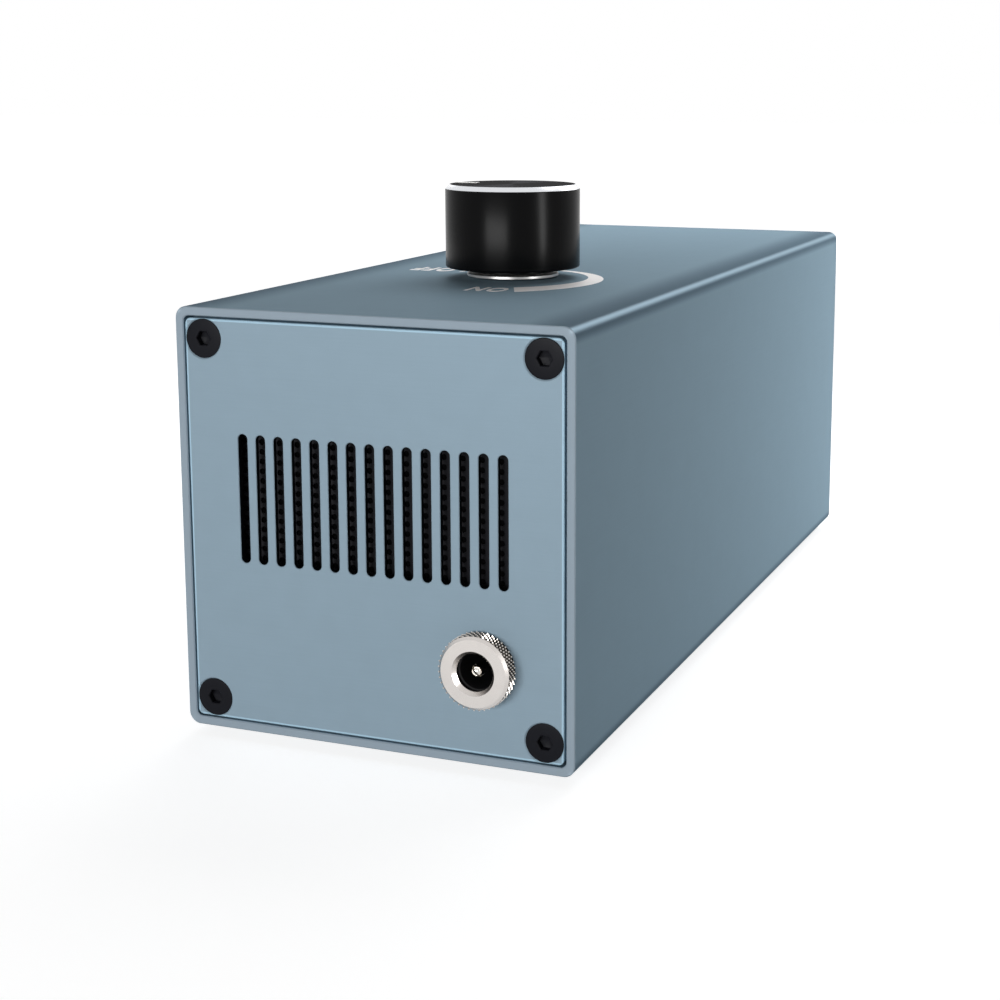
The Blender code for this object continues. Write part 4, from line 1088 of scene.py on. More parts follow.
@dataclass
class Case:
    """The extruded tube with its corner bosses, screw bores and the hole for the knob's bushing."""

    wall: float = 1.5 * MM
    edge: float = 2.0 * MM
    pocket_corner: float = 1.0 * MM
    pocket_depth: float = 3.3 * MM
    rim_chamfer: float = RIM_EDGE
    edge_steps: int = 12
    boss: float = 3.5 * MM
    boss_edge: float = 2.5 * MM
    lip_reach: float = 1.6 * MM
    lip_low: float = 3.6 * MM
    lip_high: float = 5.1 * MM
    screw_bore: float = 1.75 * MM
    neck_bore: float = NECK_BORE

    def section(self, inset: float, inner: bool = False) -> Outline:
        """Return the tube's outline.

        Args:
            inset: how far a chamfer draws the outer one in, or the inner one out.
            inner: whether it is the inner one.

        Returns:
            The outline about the middle of the case.
        """
        size = CASE_HIGH - CASE_LOW
        if inner:
            grow = inset - self.wall
            return rounded(size.x + 2 * grow, size.z + 2 * grow, self.pocket_corner + inset, self.edge_steps)
        return rounded(size.x - 2 * inset, size.z - 2 * inset, self.edge - inset, self.edge_steps)

    def boss_outline(self, side: int, level: int) -> Outline:
        """Return one corner boss.

        Args:
            side: 1 on the right and -1 on the left.
            level: 1 at the top and -1 at the bottom, where a lip holds the tray.

        Returns:
            Its outline about the middle of the case.
        """
        half = (CASE_HIGH - CASE_LOW) / 2
        wall_x, wall_z = half.x - self.wall / 2, half.z - self.wall / 2
        reach, crown = SCREW_REACH - self.boss, SCREW_RISE - self.boss
        points = [(wall_x, wall_z), (reach, wall_z)]
        if level < 0:
            low, high, tip = half.z - self.lip_low, half.z - self.lip_high, reach - self.lip_reach
            points += [(reach, low), (tip, low), (tip, high), (reach, high)]
        points += bend((reach + self.boss_edge, crown + self.boss_edge), self.boss_edge, 180, 270)
        points.append((wall_x, crown))
        return [(side * x, level * z) for x, z in points]

    def build(self) -> None:
        """Extrude the tube, add the bosses and bore it."""
        length = CASE_HIGH.y - CASE_LOW.y
        front = (CASE_MIDDLE.x, CASE_LOW.y, CASE_MIDDLE.z)
        c = self.rim_chamfer
        steps = [(c, 0.0), (0.0, -c), (0.0, c - length), (c, -length)]
        rings = [lifted(self.section(inset), height) for inset, height in steps]
        rings += [lifted(self.section(inset, True), height) for inset, height in reversed(steps)]
        tube = as_mesh("case", loft(rings, closed=True), front, Aim.FRONT)
        ends = (-self.pocket_depth, self.pocket_depth - length)
        bosses = [prism(self.boss_outline(*corner), *ends) for corner in CORNERS]
        tube = combined(tube, as_mesh("bosses", together(bosses), front, Aim.FRONT), "UNION")
        bore = [(self.screw_bore, OVERCUT), (self.screw_bore, -length - OVERCUT)]
        bores = together([lathe(bore, Round.BORE) for _ in SCREW_PLACES], SCREW_PLACES)
        tube = combined(tube, as_mesh("bores", bores, front, Aim.FRONT))
        neck = lathe([(self.neck_bore, OVERCUT), (self.neck_bore, -self.wall - OVERCUT)], Round.SMALL)
        tube = combined(tube, as_mesh("neck", neck, on_knob_axis(CASE_HIGH.z)))
        seat("case_tube", tube, CASE_BLUE, Body.CASE, "body_shell")


@dataclass
class EndPlate:
    """A slotted plate let into one end of the case, with its screws and the sheet behind its slots.

    The hole is given by its place along X and Z on the plate and its radius.
    The socket ends in a drilled tip, as shares of the socket's half width and depth.
    """

    end: str
    aim: Aim
    sheet_node: str
    hole: Triple
    corner: float = 1.0 * MM
    chamfer: float = 0.12 * MM
    web: float = 1.0 * MM
    relief_margin: float = 2.4 * MM
    slot_count: int = 15
    slot_width: float = 1.75 * MM
    slot_height: float = 21.7 * MM
    slot_pitch: float = 3.29 * MM
    slot_chamfer: float = 0.1 * MM
    slot_steps: int = 10
    head_radius: float = 3.25 * MM
    head_gap: float = 0.1 * MM
    head_sink: float = 0.1 * MM
    head_edge: float = 0.15 * MM
    head_steps: int = 4
    shank_radius: float = 1.45 * MM
    socket_half: float = 1.15 * MM
    socket_depth: float = 1.3 * MM
    socket_mouth: float = 0.12 * MM
    socket_tip: tuple[float, float] = (0.2, 1.15)
    holes_per_slot: int = 2
    hole_share: float = 0.7
    cloth: float = 0.15 * MM
    cloth_share: float = 0.9

    @property
    def plate(self) -> str:
        """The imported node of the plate."""
        return f"{self.end}_end_plate"

    @property
    def inward(self) -> float:
        """The sign of Y towards the inside of the case."""
        return 1.0 if self.aim is Aim.FRONT else -1.0

    @property
    def face(self) -> Vector:
        """The middle of the plate's outer face."""
        low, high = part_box(self.plate)
        return Vector((CASE_MIDDLE.x, low[1] if self.aim is Aim.FRONT else high[1], CASE_MIDDLE.z))

    @property
    def slot_rise(self) -> float:
        """How far the row of slots lies above the middle of the plate."""
        return middle_of(self.sheet_node).z - CASE_MIDDLE.z

    def slot(self) -> bmesh.types.BMesh:
        """Return the shape that cuts one slot, wider at the face.

        Returns:
            The shape, with the face at height 0.
        """
        c = self.slot_chamfer
        rings = []
        for grow, height in ((c + OVERCUT, OVERCUT), (0.0, -c), (0.0, -size_of(self.plate).y - OVERCUT)):
            width, tall = self.slot_width + 2 * grow, self.slot_height + 2 * grow
            rings.append(lifted(rounded(width, tall, self.slot_width / 2 + grow, self.slot_steps), height))
        return loft(rings)

    def relief(self) -> bmesh.types.BMesh:
        """Return the shape that thins the plate to a web behind the slots.

        Returns:
            The shape, with the face at height 0.
        """
        margin = 2.0 * self.relief_margin
        width = (self.slot_count - 1) * self.slot_pitch + self.slot_width + margin
        line = rounded(width, self.slot_height + margin, self.relief_margin)
        return prism(line, -self.web, -size_of(self.plate).y - OVERCUT)

    def holes(self) -> bmesh.types.BMesh:
        """Return the shape that cuts the countersinks, the round hole and the relief behind the slots.

        Returns:
            The shape, with the face at height 0.
        """
        low = -size_of(self.plate).y - OVERCUT
        wide, throat = self.head_radius + self.head_gap, self.shank_radius + SEAT_GAP
        c = self.slot_chamfer
        sink = [(wide + c + OVERCUT, OVERCUT), (wide, -c), (throat, throat - wide - c), (throat, low)]
        x, z, radius = self.hole
        bore = [(radius + c + OVERCUT, OVERCUT), (radius, -c), (radius, low)]
        shapes = [lathe(sink, Round.SMALL) for _ in SCREW_PLACES] + [lathe(bore, Round.MIDDLE), self.relief()]
        return together(shapes, SCREW_PLACES + [(x, z, 0.0), (0.0, self.slot_rise, 0.0)])

    def screw(self) -> bmesh.types.BMesh:
        """Return a countersunk screw with a hexagon socket.

        Returns:
            The shape, with the head's top at height 0.
        """
        count = Round.SMALL
        length = size_of(f"{self.end}_end_screw_1").y
        half, painted_depth_shade, mouth = self.socket_half, self.socket_depth, self.socket_mouth
        tip_half, tip_deep = self.socket_tip
        sides = [(tip_half * half, -tip_deep * painted_depth_shade), (half, -painted_depth_shade), (half, -mouth), (half + mouth, 0.0)]
        edge, shank = self.head_edge, self.shank_radius
        profile = list(reversed(bend((self.head_radius - edge, -edge), edge, 0, 90, self.head_steps)))
        profile += [(shank, shank - self.head_radius - edge), (shank, -length)]
        return loft([hexagon(r, h, count) for r, h in sides] + [circle(r, h, count) for r, h in profile])

    def cut_plate(self) -> None:
        """Cut the slots and holes out of the plate."""
        size = size_of(self.plate)
        c = self.chamfer
        outline = rounded(size.x, size.z, self.corner)
        rings = [lifted(rounded(size.x - 2 * c, size.z - 2 * c, self.corner - c), 0.0), lifted(outline, -c),
                 lifted(outline, -size.y)]
        slot = put("slot_tool", as_mesh("slot_tool", self.slot()))
        holes = put("hole_tool", as_mesh("hole_tool", self.holes()))
        plate = slot_tree().mesh(
            self.plate, PLATE_BLUE, self.face, self.aim, as_mesh("blank", loft(rings)), Slot=slot,
            Holes=holes, Count=self.slot_count, Pitch=self.slot_pitch, Rise=self.slot_rise)
        seat(f"{self.end}_end_face", plate, PLATE_BLUE, Body.CASE, self.plate)
        scrap(slot, holes)

    def set_screws(self) -> None:
        """Sink a screw in each corner of the plate."""
        screw = put("screw_tool", as_mesh("screw_tool", self.screw()))
        screws = corner_tree().mesh(
            self.plate, SCREW_BLACK, self.face + Vector((0.0, self.inward * self.head_sink, 0.0)), self.aim,
            Shape=screw, Spread_X=2.0 * SCREW_REACH, Spread_Y=2.0 * SCREW_RISE)
        nodes = [f"{self.end}_end_screw_{i}" for i in range(1, len(CORNERS) + 1)]
        seat(f"{self.end}_end_screws", screws, SCREW_BLACK, Body.CASE, *nodes)
        scrap(screw)

    def hang_sheet(self) -> None:
        """Hang the perforated sheet behind the slots, and a filter cloth behind the sheet."""
        low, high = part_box(self.sheet_node)
        sheet = size_of(self.sheet_node)
        level = middle_of(self.sheet_node).z
        back = Vector((CASE_MIDDLE.x, high[1] if self.aim is Aim.FRONT else low[1], level))
        pitch = self.slot_pitch / self.holes_per_slot
        columns, rows = 2 * round(sheet.x / pitch / 2) + 1, round(sheet.z / pitch)
        width, height = columns * pitch, rows * pitch
        mesh = sheet_tree().mesh(
            self.sheet_node, MESH_BLACK, back - Vector((0.0, self.inward * self.cloth, 0.0)), self.aim,
            Width=width, Height=height, Columns=columns, Rows=rows, Open=self.hole_share,
            Thickness=sheet.y - self.cloth)
        seat(f"{self.end}_end_sheet", mesh, MESH_BLACK, Body.CASE, self.sheet_node)
        line = rounded(width, height, self.corner)
        cloth = prism(line, 0.0, self.cloth_share * self.cloth)
        seat(f"{self.end}_end_cloth", as_mesh("cloth", cloth, back, self.aim), CLOTH_BLACK, Body.CASE)

    def build(self) -> None:
        """Cut the plate, set its screws and hang the sheet behind it."""
        self.cut_plate()
        self.set_screws()
        self.hang_sheet()


@dataclass
class PowerJack:
    """The knurled jack in the front plate: metal shell, black core and centre pin.

    The plain rims beside the knurl stand out by a share of its teeth.
    The pin's tip is rounded by a share of its radius, and its slit by a share of the slit's width.
    """

    flange_depth: float = 3.2 * MM
    face_edge: float = 0.45 * MM
    mouth_radius: float = 3.65 * MM
    mouth_depth: float = 0.72 * MM
    bore_radius: float = 3.1 * MM
    lip: float = 1.0 * MM
    barrel_radius: float = 5.4 * MM
    barrel_wall: float = 1.2 * MM
    teeth: int = 42
    tooth_lead: float = 0.92 * MM
    points_per_tooth: int = 12
    knurl_rows: int = 30
    knurl_wall: float = 0.3 * MM
    rim_share: float = 0.5
    core_depth: float = 9.0 * MM
    core_edge: float = 0.2 * MM
    pin_radius: float = 1.0 * MM
    tip_share: float = 0.95
    tip_steps: int = 10
    slit_width: float = 0.3 * MM
    slit_corner: float = 0.1
    slit_depth: float = 1.6 * MM
    slit_turn: float = math.radians(-48)

    def front(self, node: str) -> Triple:
        """Return where the jack's axis meets a node's front."""
        return JACK_AXIS.x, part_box(node)[0][1], JACK_AXIS.z

    def shell(self) -> bmesh.types.BMesh:
        """Return the flange with its bright edges and the barrel behind it.

        Returns:
            The shape, with the flange's face at height 0.
        """
        end = -size_of("jack_shell").y
        barrel, bore = self.barrel_radius, self.barrel_radius - self.barrel_wall
        waist = KNURL_ROOT - self.knurl_wall
        rim = KNURL_ROOT + self.rim_share * KNURL_DEPTH
        e, back = self.face_edge, -self.flange_depth
        profile = [(self.bore_radius, -self.lip), (self.bore_radius, -self.mouth_depth),
                   (self.mouth_radius, 0.0), (rim - e, 0.0), (rim, -e), (waist, -e), (waist, e + back),
                   (rim, e + back), (rim - e, back), (barrel, back), (barrel, end), (bore, end),
                   (bore, -self.lip)]
        return lathe(profile, Round.FLANGE, closed=True)

    def knurl(self) -> bpy.types.Mesh:
        """Return the band of crossed teeth round the flange.

        Returns:
            The mesh, in place.
        """
        top, bottom = -self.face_edge, self.face_edge - self.flange_depth
        rows = self.knurl_rows
        side = [(KNURL_ROOT, top + (bottom - top) * i / rows) for i in range(rows + 1)]
        inner = KNURL_ROOT - self.knurl_wall
        profile = [(inner, top)] + side + [(inner, bottom)]
        blank = as_mesh("knurl_blank", lathe(profile, self.teeth * self.points_per_tooth, closed=True))
        band = blank.attributes.new("band", "FLOAT", "POINT")
        for i, vertex in enumerate(blank.vertices):
            band.data[i].value = 1.0 if math.hypot(vertex.co.x, vertex.co.y) > KNURL_ROOT - MERGE else 0.0
        return knurl_tree().mesh("jack_knurl", KNURL, self.front("jack_shell"), Aim.FRONT, blank,
                                 Teeth=float(self.teeth), Lead=self.tooth_lead, Depth=KNURL_DEPTH)

    def core(self) -> bpy.types.Mesh:
        """Return the insulating core with its blind bore.

        Returns:
            The mesh, in place.
        """
        size = size_of("jack_core")
        radius, bore, e = size.x / 2, self.bore_radius, self.core_edge
        profile = [(bore, -self.core_depth), (bore, -e), (bore + e, 0.0), (radius - e, 0.0), (radius, -e),
                   (radius, -size.y)]
        return as_mesh("jack_core", lathe(profile, Round.MIDDLE), self.front("jack_core"), Aim.FRONT)

    def pin(self) -> bpy.types.Mesh:
        """Return the centre pin with the slit in its tip.

        Returns:
            The mesh, in place.
        """
        place = self.front("jack_pin")
        tip = self.tip_share * self.pin_radius
        profile = list(reversed(bend((self.pin_radius - tip, -tip), tip, 0, 90, self.tip_steps)))
        profile.append((self.pin_radius, -size_of("jack_pin").y))
        pin = as_mesh("jack_pin", lathe(profile, Round.SMALL), place, Aim.FRONT)
        line = rounded(2.0 * self.pin_radius + OVERCUT, self.slit_width, self.slit_corner * self.slit_width)
        slit = prism(line, OVERCUT, -self.slit_depth)
        slit.transform(Matrix.Rotation(self.slit_turn, 4, "Z"))
        return combined(pin, as_mesh("slit", slit, place, Aim.FRONT))

    def build(self) -> None:
        """Build the shell, its knurl, the core and the pin."""
        flange = as_mesh("jack_flange", self.shell(), self.front("jack_shell"), Aim.FRONT)
        seat("jack_flange", flange, NICKEL, Body.CASE, "jack_shell")
        seat("jack_knurl", self.knurl(), KNURL, Body.CASE)
        seat("jack_insulator", self.core(), JACK_BLACK, Body.CASE, "jack_core")
        seat("jack_contact", self.pin(), PIN_BRIGHT, Body.CASE, "jack_pin")


@dataclass
class FlowKnob:
    """The turned knob with its bright cut edge and index line, and the washer under it."""

    radius: float = 12.5 * MM
    cut: float = 0.85 * MM
    cut_ease: float = 0.06 * MM
    face_band: float = 3.0 * MM
    foot_edge: float = 0.35 * MM
    collar_height: float = 0.7 * MM
    collar_wall: float = 1.3 * MM
    nut_room: float = 6.95 * MM
    roof: float = 3.0 * MM
    shaft_bore: float = 3.3 * MM
    nut_depth: float = 2.6 * MM
    set_screw_bore: float = 1.8 * MM
    index_length: float = 4.6 * MM
    index_width: float = 1.25 * MM
    index_corner: float = 0.2 * MM
    index_inset: float = 0.25 * MM
    index_rise: float = 0.12 * MM
    washer_bore: float = NECK_BORE
    washer_edge: float = 0.15 * MM
    coats: tuple[Finish, ...] = (KNOB_BLACK, KNOB_TOP, KNOB_CUT)

    def knob(self) -> bpy.types.Mesh:
        """Return the knob, whose side, top and cut edge take the coats in that order.

        Returns:
            The mesh, in place.
        """
        low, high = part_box("knob")
        top, base = high[2], low[2]
        foot = base + self.collar_height
        ceiling = base + self.nut_depth
        face = self.radius - self.cut
        collar = self.nut_room + self.collar_wall
        ease, e = self.cut_ease, self.foot_edge
        profile = [(face - self.face_band, top), (face, top), (self.radius - ease, top - self.cut + ease),
                   (self.radius, top - self.cut - ease)]
        profile += list(reversed(bend((self.radius - e, foot + e), e, -90, 0)))
        profile += [(collar, foot), (collar, base), (self.nut_room, base), (self.nut_room, ceiling),
                    (self.shaft_bore, ceiling), (self.shaft_bore, top - self.roof)]
        skins = [1, 2] + [0] * (len(profile) - 3)
        made = as_mesh("knob", lathe(profile, Round.KNOB, skins=skins), on_knob_axis(0.0))
        for coat in self.coats:
            made.materials.append(coat.material())
        hole = [(self.set_screw_bore, self.radius + OVERCUT), (self.set_screw_bore, self.shaft_bore)]
        level = on_knob_axis(middle_of("knob_set_screw").z)
        return combined(made, as_mesh("drill", lathe(hole, Round.DRILL), level, Aim.REAR))

    def index(self) -> bpy.types.Mesh:
        """Return the index line, which runs inwards from the left of the knob's top.

        Returns:
            The mesh, in place.
        """
        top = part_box("knob")[1][2]
        outer = self.radius - self.cut - self.index_inset
        middle = KNOB_AXIS.x - outer + self.index_length / 2
        line = rounded(self.index_length, self.index_width, self.index_corner)
        mark = prism(line, self.index_rise, -self.index_rise)
        return as_mesh("index", mark, (middle, KNOB_AXIS.y, top))

    def washer(self) -> bpy.types.Mesh:
        """Return the washer on the case, under the knob.

        Returns:
            The mesh, in place.
        """
        size = size_of("pot_washer")
        inside, outside, e = self.washer_bore, size.x / 2, self.washer_edge
        profile = [(inside, size.z), (outside - e, size.z), (outside, size.z - e), (outside, e),
                   (outside - e, 0.0), (inside, 0.0)]
        place = on_knob_axis(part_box("pot_washer")[0][2])
        return as_mesh("washer", lathe(profile, Round.WASHER, closed=True), place)

    def build(self) -> None:
        """Build the knob, its index line and the washer."""
        seat("knob_turned", self.knob(), self.coats, Body.KNOB, "knob")
        seat("knob_index", self.index(), INDEX_WHITE, Body.KNOB)
        seat("knob_washer", self.washer(), WASHER_NICKEL, Body.CASE, "pot_washer")


@dataclass
class FlowScale:
    """The printed ramp round the knob, with ON and OFF at its ends, read from the rear.

    Type of size 1 has capitals of the height capital, and is extruded by type_depth before it is scaled.
    """

    start: float = math.radians(160)
    end: float = math.radians(-67)
    steps: int = 96
    inner_start: float = 13.5 * MM
    thin: float = 0.5 * MM
    swell: float = 6.3 * MM
    sweep: float = 3.9 * MM
    swell_power: float = 2.3
    sweep_power: float = 4.0
    ink: float = 0.02 * MM
    capital: float = 0.7
    type_depth: float = 0.01
    letter_height: float = 5.4 * MM
    stretch: float = 0.55
    weight: float = 0.036
    spacing: float = 1.2
    on_place: tuple[float, float] = (3.6 * MM, -20.0 * MM)
    off_place: tuple[float, float] = (-19.3 * MM, 7.5 * MM)

    def ramp(self) -> bpy.types.Mesh:
        """Return the tapered arc, which widens and swings out towards ON.

        Returns:
            The mesh, in place.
        """
        rings = []
        for i in range(self.steps + 1):
            share = i / self.steps
            angle = self.start + (self.end - self.start) * share
            inner = self.inner_start + self.sweep * share ** self.sweep_power
            outer = inner + self.thin + self.swell * share ** self.swell_power
            across = Vector((math.cos(angle), math.sin(angle), 0.0))
            corners = ((inner, -self.ink), (outer, -self.ink), (outer, self.ink), (inner, self.ink))
            rings.append([across * r + Vector((0.0, 0.0, h)) for r, h in corners])
        return as_mesh("flow_ramp", loft(rings), on_knob_axis(CASE_HIGH.z))

    def word(self, text: str, place: tuple[float, float]) -> bpy.types.Mesh:
        """Return a printed word.

        Args:
            text: the word.
            place: the middle of the word, from the knob's axis.

        Returns:
            Its mesh, in place.
        """
        curve = bpy.data.curves.new("letters", "FONT")
        curve.body = text
        curve.align_x = "CENTER"
        curve.align_y = "CENTER"
        curve.extrude = self.type_depth
        curve.offset = self.weight
        curve.space_character = self.spacing
        host = put("letters", curve)
        made = flattened(host, "word_" + text.lower())
        scrap(host)
        scale = self.letter_height / self.capital
        resize = Matrix.Diagonal((scale * self.stretch, scale, self.ink / self.type_depth, 1.0))
        turn = Matrix.Rotation(math.pi, 4, "Z")
        move = Matrix.Translation((KNOB_AXIS.x + place[0], KNOB_AXIS.y + place[1], CASE_HIGH.z))
        made.transform(move @ turn @ resize)
        return made

    def build(self) -> None:
        """Print the ramp and the two words."""
        seat("flow_ramp", self.ramp(), INK_WHITE, Body.CASE)
        seat("word_on", self.word("ON", self.on_place), INK_WHITE, Body.CASE)
        seat("word_off", self.word("OFF", self.off_place), INK_WHITE, Body.CASE)


@dataclass
class Feet:
    """The four rubber pads, each with a dimple that lies between two shares of its radius."""

    edge: float = 0.5 * MM
    top_edge: float = 0.15 * MM
    dimple: float = 0.3 * MM
    dimple_share: tuple[float, float] = (0.45, 0.5)

    def build(self) -> None:
        """Turn one pad and set it on the four corners."""
        nodes = [f"foot_{i}" for i in range(1, len(CORNERS) + 1)]
        size = size_of(nodes[0])
        radius = size.x / 2
        inner, outer = self.dimple_share
        profile = [(inner * radius, self.dimple), (outer * radius, 0.0)]
        profile += bend((radius - self.edge, self.edge), self.edge, -90, 0)
        profile += [(radius, size.z - self.top_edge), (radius - self.top_edge, size.z)]
        pad = put("pad_tool", as_mesh("pad_tool", lathe(profile, Round.SMALL)))
        middles = [middle_of(node) for node in nodes]
        spread = [max(m[k] for m in middles) - min(m[k] for m in middles) for k in (0, 1)]
        centre = sum(middles, Vector()) / len(middles)
        pads = corner_tree().mesh("feet", RUBBER, (centre.x, centre.y, 0.0), Shape=pad, Spread_X=spread[0],
                                  Spread_Y=spread[1])
        seat("feet", pads, RUBBER, Body.CASE, *nodes)
        scrap(pad)


@dataclass
class Outlet:
    """The hose barb in the rear plate, whose hexagon has its corners cut back by a cone."""

    flange_half: float = 6.5 * MM
    flange_depth: float = 4.0 * MM
    face_radius: float = 6.2 * MM
    corner_cut: float = 0.75 * MM
    cut_steps: int = 8
    thread_radius: float = 4.5 * MM
    thread_end: float = -6.9 * MM
    nozzle: float = 2.5 * MM
    nose_drop: float = 0.05 * MM
    bore: float = 1.5 * MM
    bore_edge: float = 0.15 * MM
    rise: float = 0.5 * MM
    teeth: int = 3
    tooth_ease: float = 0.08 * MM
    groove: float = 1.4 * MM

    def nose(self, top: float) -> list[tuple[float, float]]:
        """Return the profile of the nozzle and its teeth.

        Args:
            top: the height of the nozzle's end above the plate.

        Returns:
            The points as radius and height, from the end down to the hexagon.
        """
        tooth = (top - self.flange_depth) / self.teeth
        peak, ease = self.nozzle + self.rise, self.tooth_ease
        made = [(self.bore + self.bore_edge, top), (self.nozzle - self.rise, top - self.nose_drop)]
        for i in range(1, self.teeth + 1):
            foot = top - i * tooth
            heel = foot + self.groove
            waist = self.nozzle if i < self.teeth else peak + SEAT_GAP
            made += [(peak - ease, heel + 2 * ease), (peak, heel + ease), (peak - ease, heel), (waist, heel),
                     (waist, foot)]
        return made

    def build(self) -> None:
        """Turn the barb with its hexagon."""
        count = Round.BARB
        low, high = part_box("outlet_barb")
        flange_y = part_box("outlet_end_plate")[1][1] + SEAT_GAP
        top, inner = high[1] - flange_y, low[1] - flange_y
        rings = [circle(r, h, count) for r, h in self.nose(top)]
        for i in range(self.cut_steps + 1):
            drop = self.corner_cut * i / self.cut_steps
            limit = self.face_radius + CONE_SLOPE * drop
            rings.append(hexagon(self.flange_half, self.flange_depth - drop, count, limit))
        rings.append(hexagon(self.flange_half, 0.0, count))
        thread, end = self.thread_radius, self.thread_end
        stem = [(thread, 0.0), (thread, end), (self.nozzle, end), (self.nozzle, inner), (self.bore, inner),
                (self.bore, top - self.bore_edge)]
        rings += [circle(r, h, count) for r, h in stem]
        barb = as_mesh("barb", loft(rings, closed=True), (BARB_AXIS.x, flange_y, BARB_AXIS.z), Aim.REAR)
        seat("hose_barb", barb, BARB_NICKEL, Body.CASE, "outlet_barb")


@dataclass
class Membrane:
    """The pump's rubber membrane, as the ring that the case holds and the middle that the rod carries.

    The ring's opening leaves the middle, its disc and the rod's foot room for the crank's throw to each side.
    """

    chamber: float = 13.0 * MM
    middle: float = 7.0 * MM
    stud_hole: float = 2.3 * MM
    thick: float = 1.5 * MM
    throw: float = 1.5 * MM
    clear: float = 0.1 * MM
    edge: float = 0.15 * MM
    steps: int = 12

    def disc(self, radius: float, height: float, spread: float = 0.0) -> Ring:
        """Return a circle at a height, drawn out by a spread to each side along X."""
        return lifted(rounded(2.0 * (radius + spread), 2.0 * radius, radius, self.steps), height)

    def build(self) -> None:
        """Make the ring and the middle."""
        axis = middle_of("diaphragm")
        place = (axis.x, axis.y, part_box("diaphragm")[0][2])
        reach = size_of("diaphragm").x / 2
        gap = self.middle + self.clear
        lift, top = self.throw, self.throw + self.thick
        rings = [self.disc(reach, 0.0), self.disc(self.chamber, 0.0), self.disc(gap, lift, self.throw),
                 self.disc(gap, top, self.throw), self.disc(self.chamber, self.thick),
                 self.disc(reach, self.thick)]
        ring = as_mesh("membrane_ring", loft(rings, closed=True), place)
        seat("membrane_ring", ring, RUBBER, Body.CASE, "diaphragm")
        radius, e = self.middle, self.edge
        profile = [(self.stud_hole, lift), (radius - e, lift), (radius, lift + e), (radius, top - e),
                   (radius - e, top), (self.stud_hole, top)]
        middle = as_mesh("membrane_middle", lathe(profile, Round.MIDDLE, closed=True), place)
        seat("membrane_middle", middle, RUBBER, Body.ROD)


@dataclass
class Inside:
    """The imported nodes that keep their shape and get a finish."""

    special: tuple[tuple[str, Finish], ...] = (("knob_set_screw", SCREW_BLACK), ("pot_nut", WASHER_NICKEL))

    def build(self) -> None:
        """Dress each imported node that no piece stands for."""
        chosen = dict(self.special)
        for name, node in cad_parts.items():
            if node.hide_render:
                continue
            slot = node.data.materials[0].name.split(".")[0]
            finish = chosen.get(name) or INSIDE_FINISHES.get(slot, STEEL)
            for coat in node.material_slots:
                coat.material = finish.material()
            LOG.info("%s: packed shape, %s", name, finish.name)


@dataclass(frozen=True)
class Lamp:
    """A soft rectangular lamp that faces a target; its power is in watts.

    A lamp that doesn't shine leaves no highlight, and one that doesn't fill leaves nothing else.
    """

    name: str
    place: Triple
    target: Triple
    size: tuple[float, float]
    power: float
    shines: bool = True
    fills: bool = True

    def hang(self) -> None:
        """Put the lamp up, out of the camera's sight."""
        light = bpy.data.lights.new(self.name, "AREA")
        light.shape = "RECTANGLE"
        light.size, light.size_y = self.size
        light.energy = self.power
        made = put(self.name, light)
        made.location = self.place
        made.rotation_euler = (Vector(self.target) - Vector(self.place)).to_track_quat("-Z", "Y").to_euler()
        made.visible_camera = False
        made.visible_glossy = self.shines
        made.visible_diffuse = self.fills


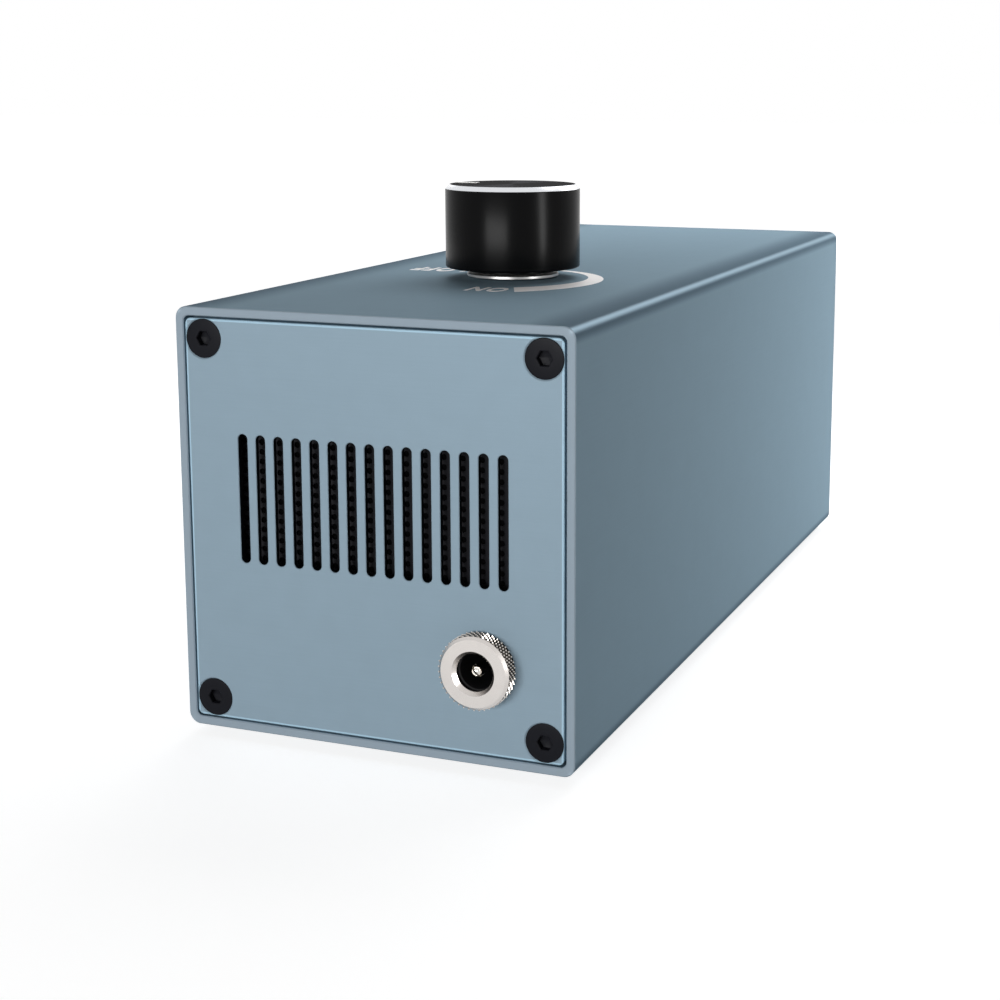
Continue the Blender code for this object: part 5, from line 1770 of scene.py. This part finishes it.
@dataclass
class Studio:
    """The pale floor, the soft light and the camera.

    The low lamps stand under the level of the part's top, so each lights one side alone.
    """

    lamps: tuple[Lamp, ...] = (
        Lamp("front", (-0.1, -1.1, 0.16), (0.0, -0.05, 0.04), (0.7, 0.25), 7.4),
        Lamp("strip", (0.75, -0.25, 0.20), (0.0, -0.03, 0.07), (0.12, 0.5), 3.5, fills=False),
        Lamp("over", (0.0, 0.13, 0.28), (0.0, 0.10, 0.07), (0.25, 0.2), 0.28),
        Lamp("over_rear", (0.0, 0.22, 0.23), (0.0, 0.09, 0.07), (0.6, 0.15), 0.48),
        Lamp("low_right", (0.26, 0.25, 0.045), (0.035, 0.09, 0.04), (0.2, 0.05), 0.52, shines=False),
        Lamp("low_left", (-0.9, 0.1, 0.05), (0.0, 0.0, 0.04), (0.5, 0.08), 2.0, shines=False),
        Lamp("low_rear", (0.0, 0.9, 0.045), (0.0, 0.05, 0.04), (0.5, 0.05), 1.5, shines=False))
    floor_size: float = 8.0
    paper: Colour = (0.6, 0.6, 0.6)
    paper_roughness: float = 0.9
    near_white: float = 0.8
    fade: tuple[float, float] = (0.2, 0.9)
    ambient: float = 0.06
    camera_place: Triple = (0.1283, -0.3472, 0.1099)
    yaw: float = math.radians(21.28)
    pitch: float = math.radians(10.15)
    lens: float = 64.87
    sensor: float = 36.0
    shift: tuple[float, float] = (-0.05, -0.10)
    near_clip: float = 0.01

    def seen(self, net: Net) -> Value:
        """Return 1 for rays of the camera and for mirrored or transmitted ones."""
        path = net.node("ShaderNodeLightPath", out="Is Camera Ray")
        return path | path.other("Is Glossy Ray") | path.other("Is Transmission Ray")

    def world(self) -> None:
        """Light the set evenly, before a white that only shows."""
        made = bpy.data.worlds.new("studio")
        bpy.context.scene.world = made
        made.use_nodes = True
        net = Net(made.node_tree)
        made.node_tree.nodes.clear()
        strength = self.ambient + (1.0 - self.ambient) * self.seen(net)
        sky = net.node("ShaderNodeBackground", None, {"Color": WHITE, "Strength": strength})
        end = made.node_tree.nodes.new("ShaderNodeOutputWorld")
        net.feed(end.inputs["Surface"], sky)

    def floor(self) -> None:
        """Lay a pale floor that shows white but keeps the part's shadow."""
        half = self.floor_size / 2
        corners = ((-half, -half), (half, -half), (half, half), (-half, half))
        shape = bmesh.new()
        shape.faces.new([shape.verts.new((x, y, 0.0)) for x, y in corners])
        mesh = bpy.data.meshes.new("floor")
        shape.to_mesh(mesh)
        shape.free()
        made = bpy.data.materials.new("floor_paper")
        made.use_nodes = True
        paint = Paint(made)
        distance = paint.vector("LENGTH", paint.at()).other("Value")
        white = self.near_white + (1.0 - self.near_white) * distance.step(*self.fade)
        glow = paint.mix(white * self.seen(paint), BLACK, WHITE)
        paint.set(Base_Color=self.paper, Roughness=self.paper_roughness, Specular_IOR_Level=0.0)
        paint.set(Emission_Color=glow, Emission_Strength=1.0)
        mesh.materials.append(made)
        put("floor", mesh)

    def camera(self) -> None:
        """Set the camera at the photograph's viewing angle."""
        view = bpy.data.cameras.new("camera")
        view.sensor_width = self.sensor
        view.lens = self.lens
        view.shift_x, view.shift_y = self.shift
        view.clip_start = self.near_clip
        made = put("camera", view)
        made.location = self.camera_place
        made.rotation_euler = (math.pi / 2 - self.pitch, 0.0, self.yaw)
        bpy.context.scene.camera = made

    def build(self) -> None:
        """Set up the floor, world, lamps and camera."""
        bpy.context.scene.view_settings.view_transform = "Standard"
        self.world()
        self.floor()
        for lamp in self.lamps:
            lamp.hang()
        self.camera()


def main() -> None:
    """Build and dress every sub-assembly, log each piece and set the studio."""
    logging.basicConfig(level=logging.INFO, format="%(message)s")
    jack_hole = (JACK_AXIS.x - CASE_MIDDLE.x, JACK_AXIS.z - CASE_MIDDLE.z, JACK_HOLE)
    barb_hole = (CASE_MIDDLE.x - BARB_AXIS.x, BARB_AXIS.z - CASE_MIDDLE.z, BARB_HOLE)
    ends = (EndPlate("jack", Aim.FRONT, "intake_mesh", jack_hole),
            EndPlate("outlet", Aim.REAR, "exhaust_mesh", barb_hole))
    for assembly in (Case(), *ends, PowerJack(), FlowKnob(), FlowScale(), Feet(), Outlet(), Membrane(),
                     Inside(), Studio()):
        assembly.build()


if __name__ == "__main__":
    main()
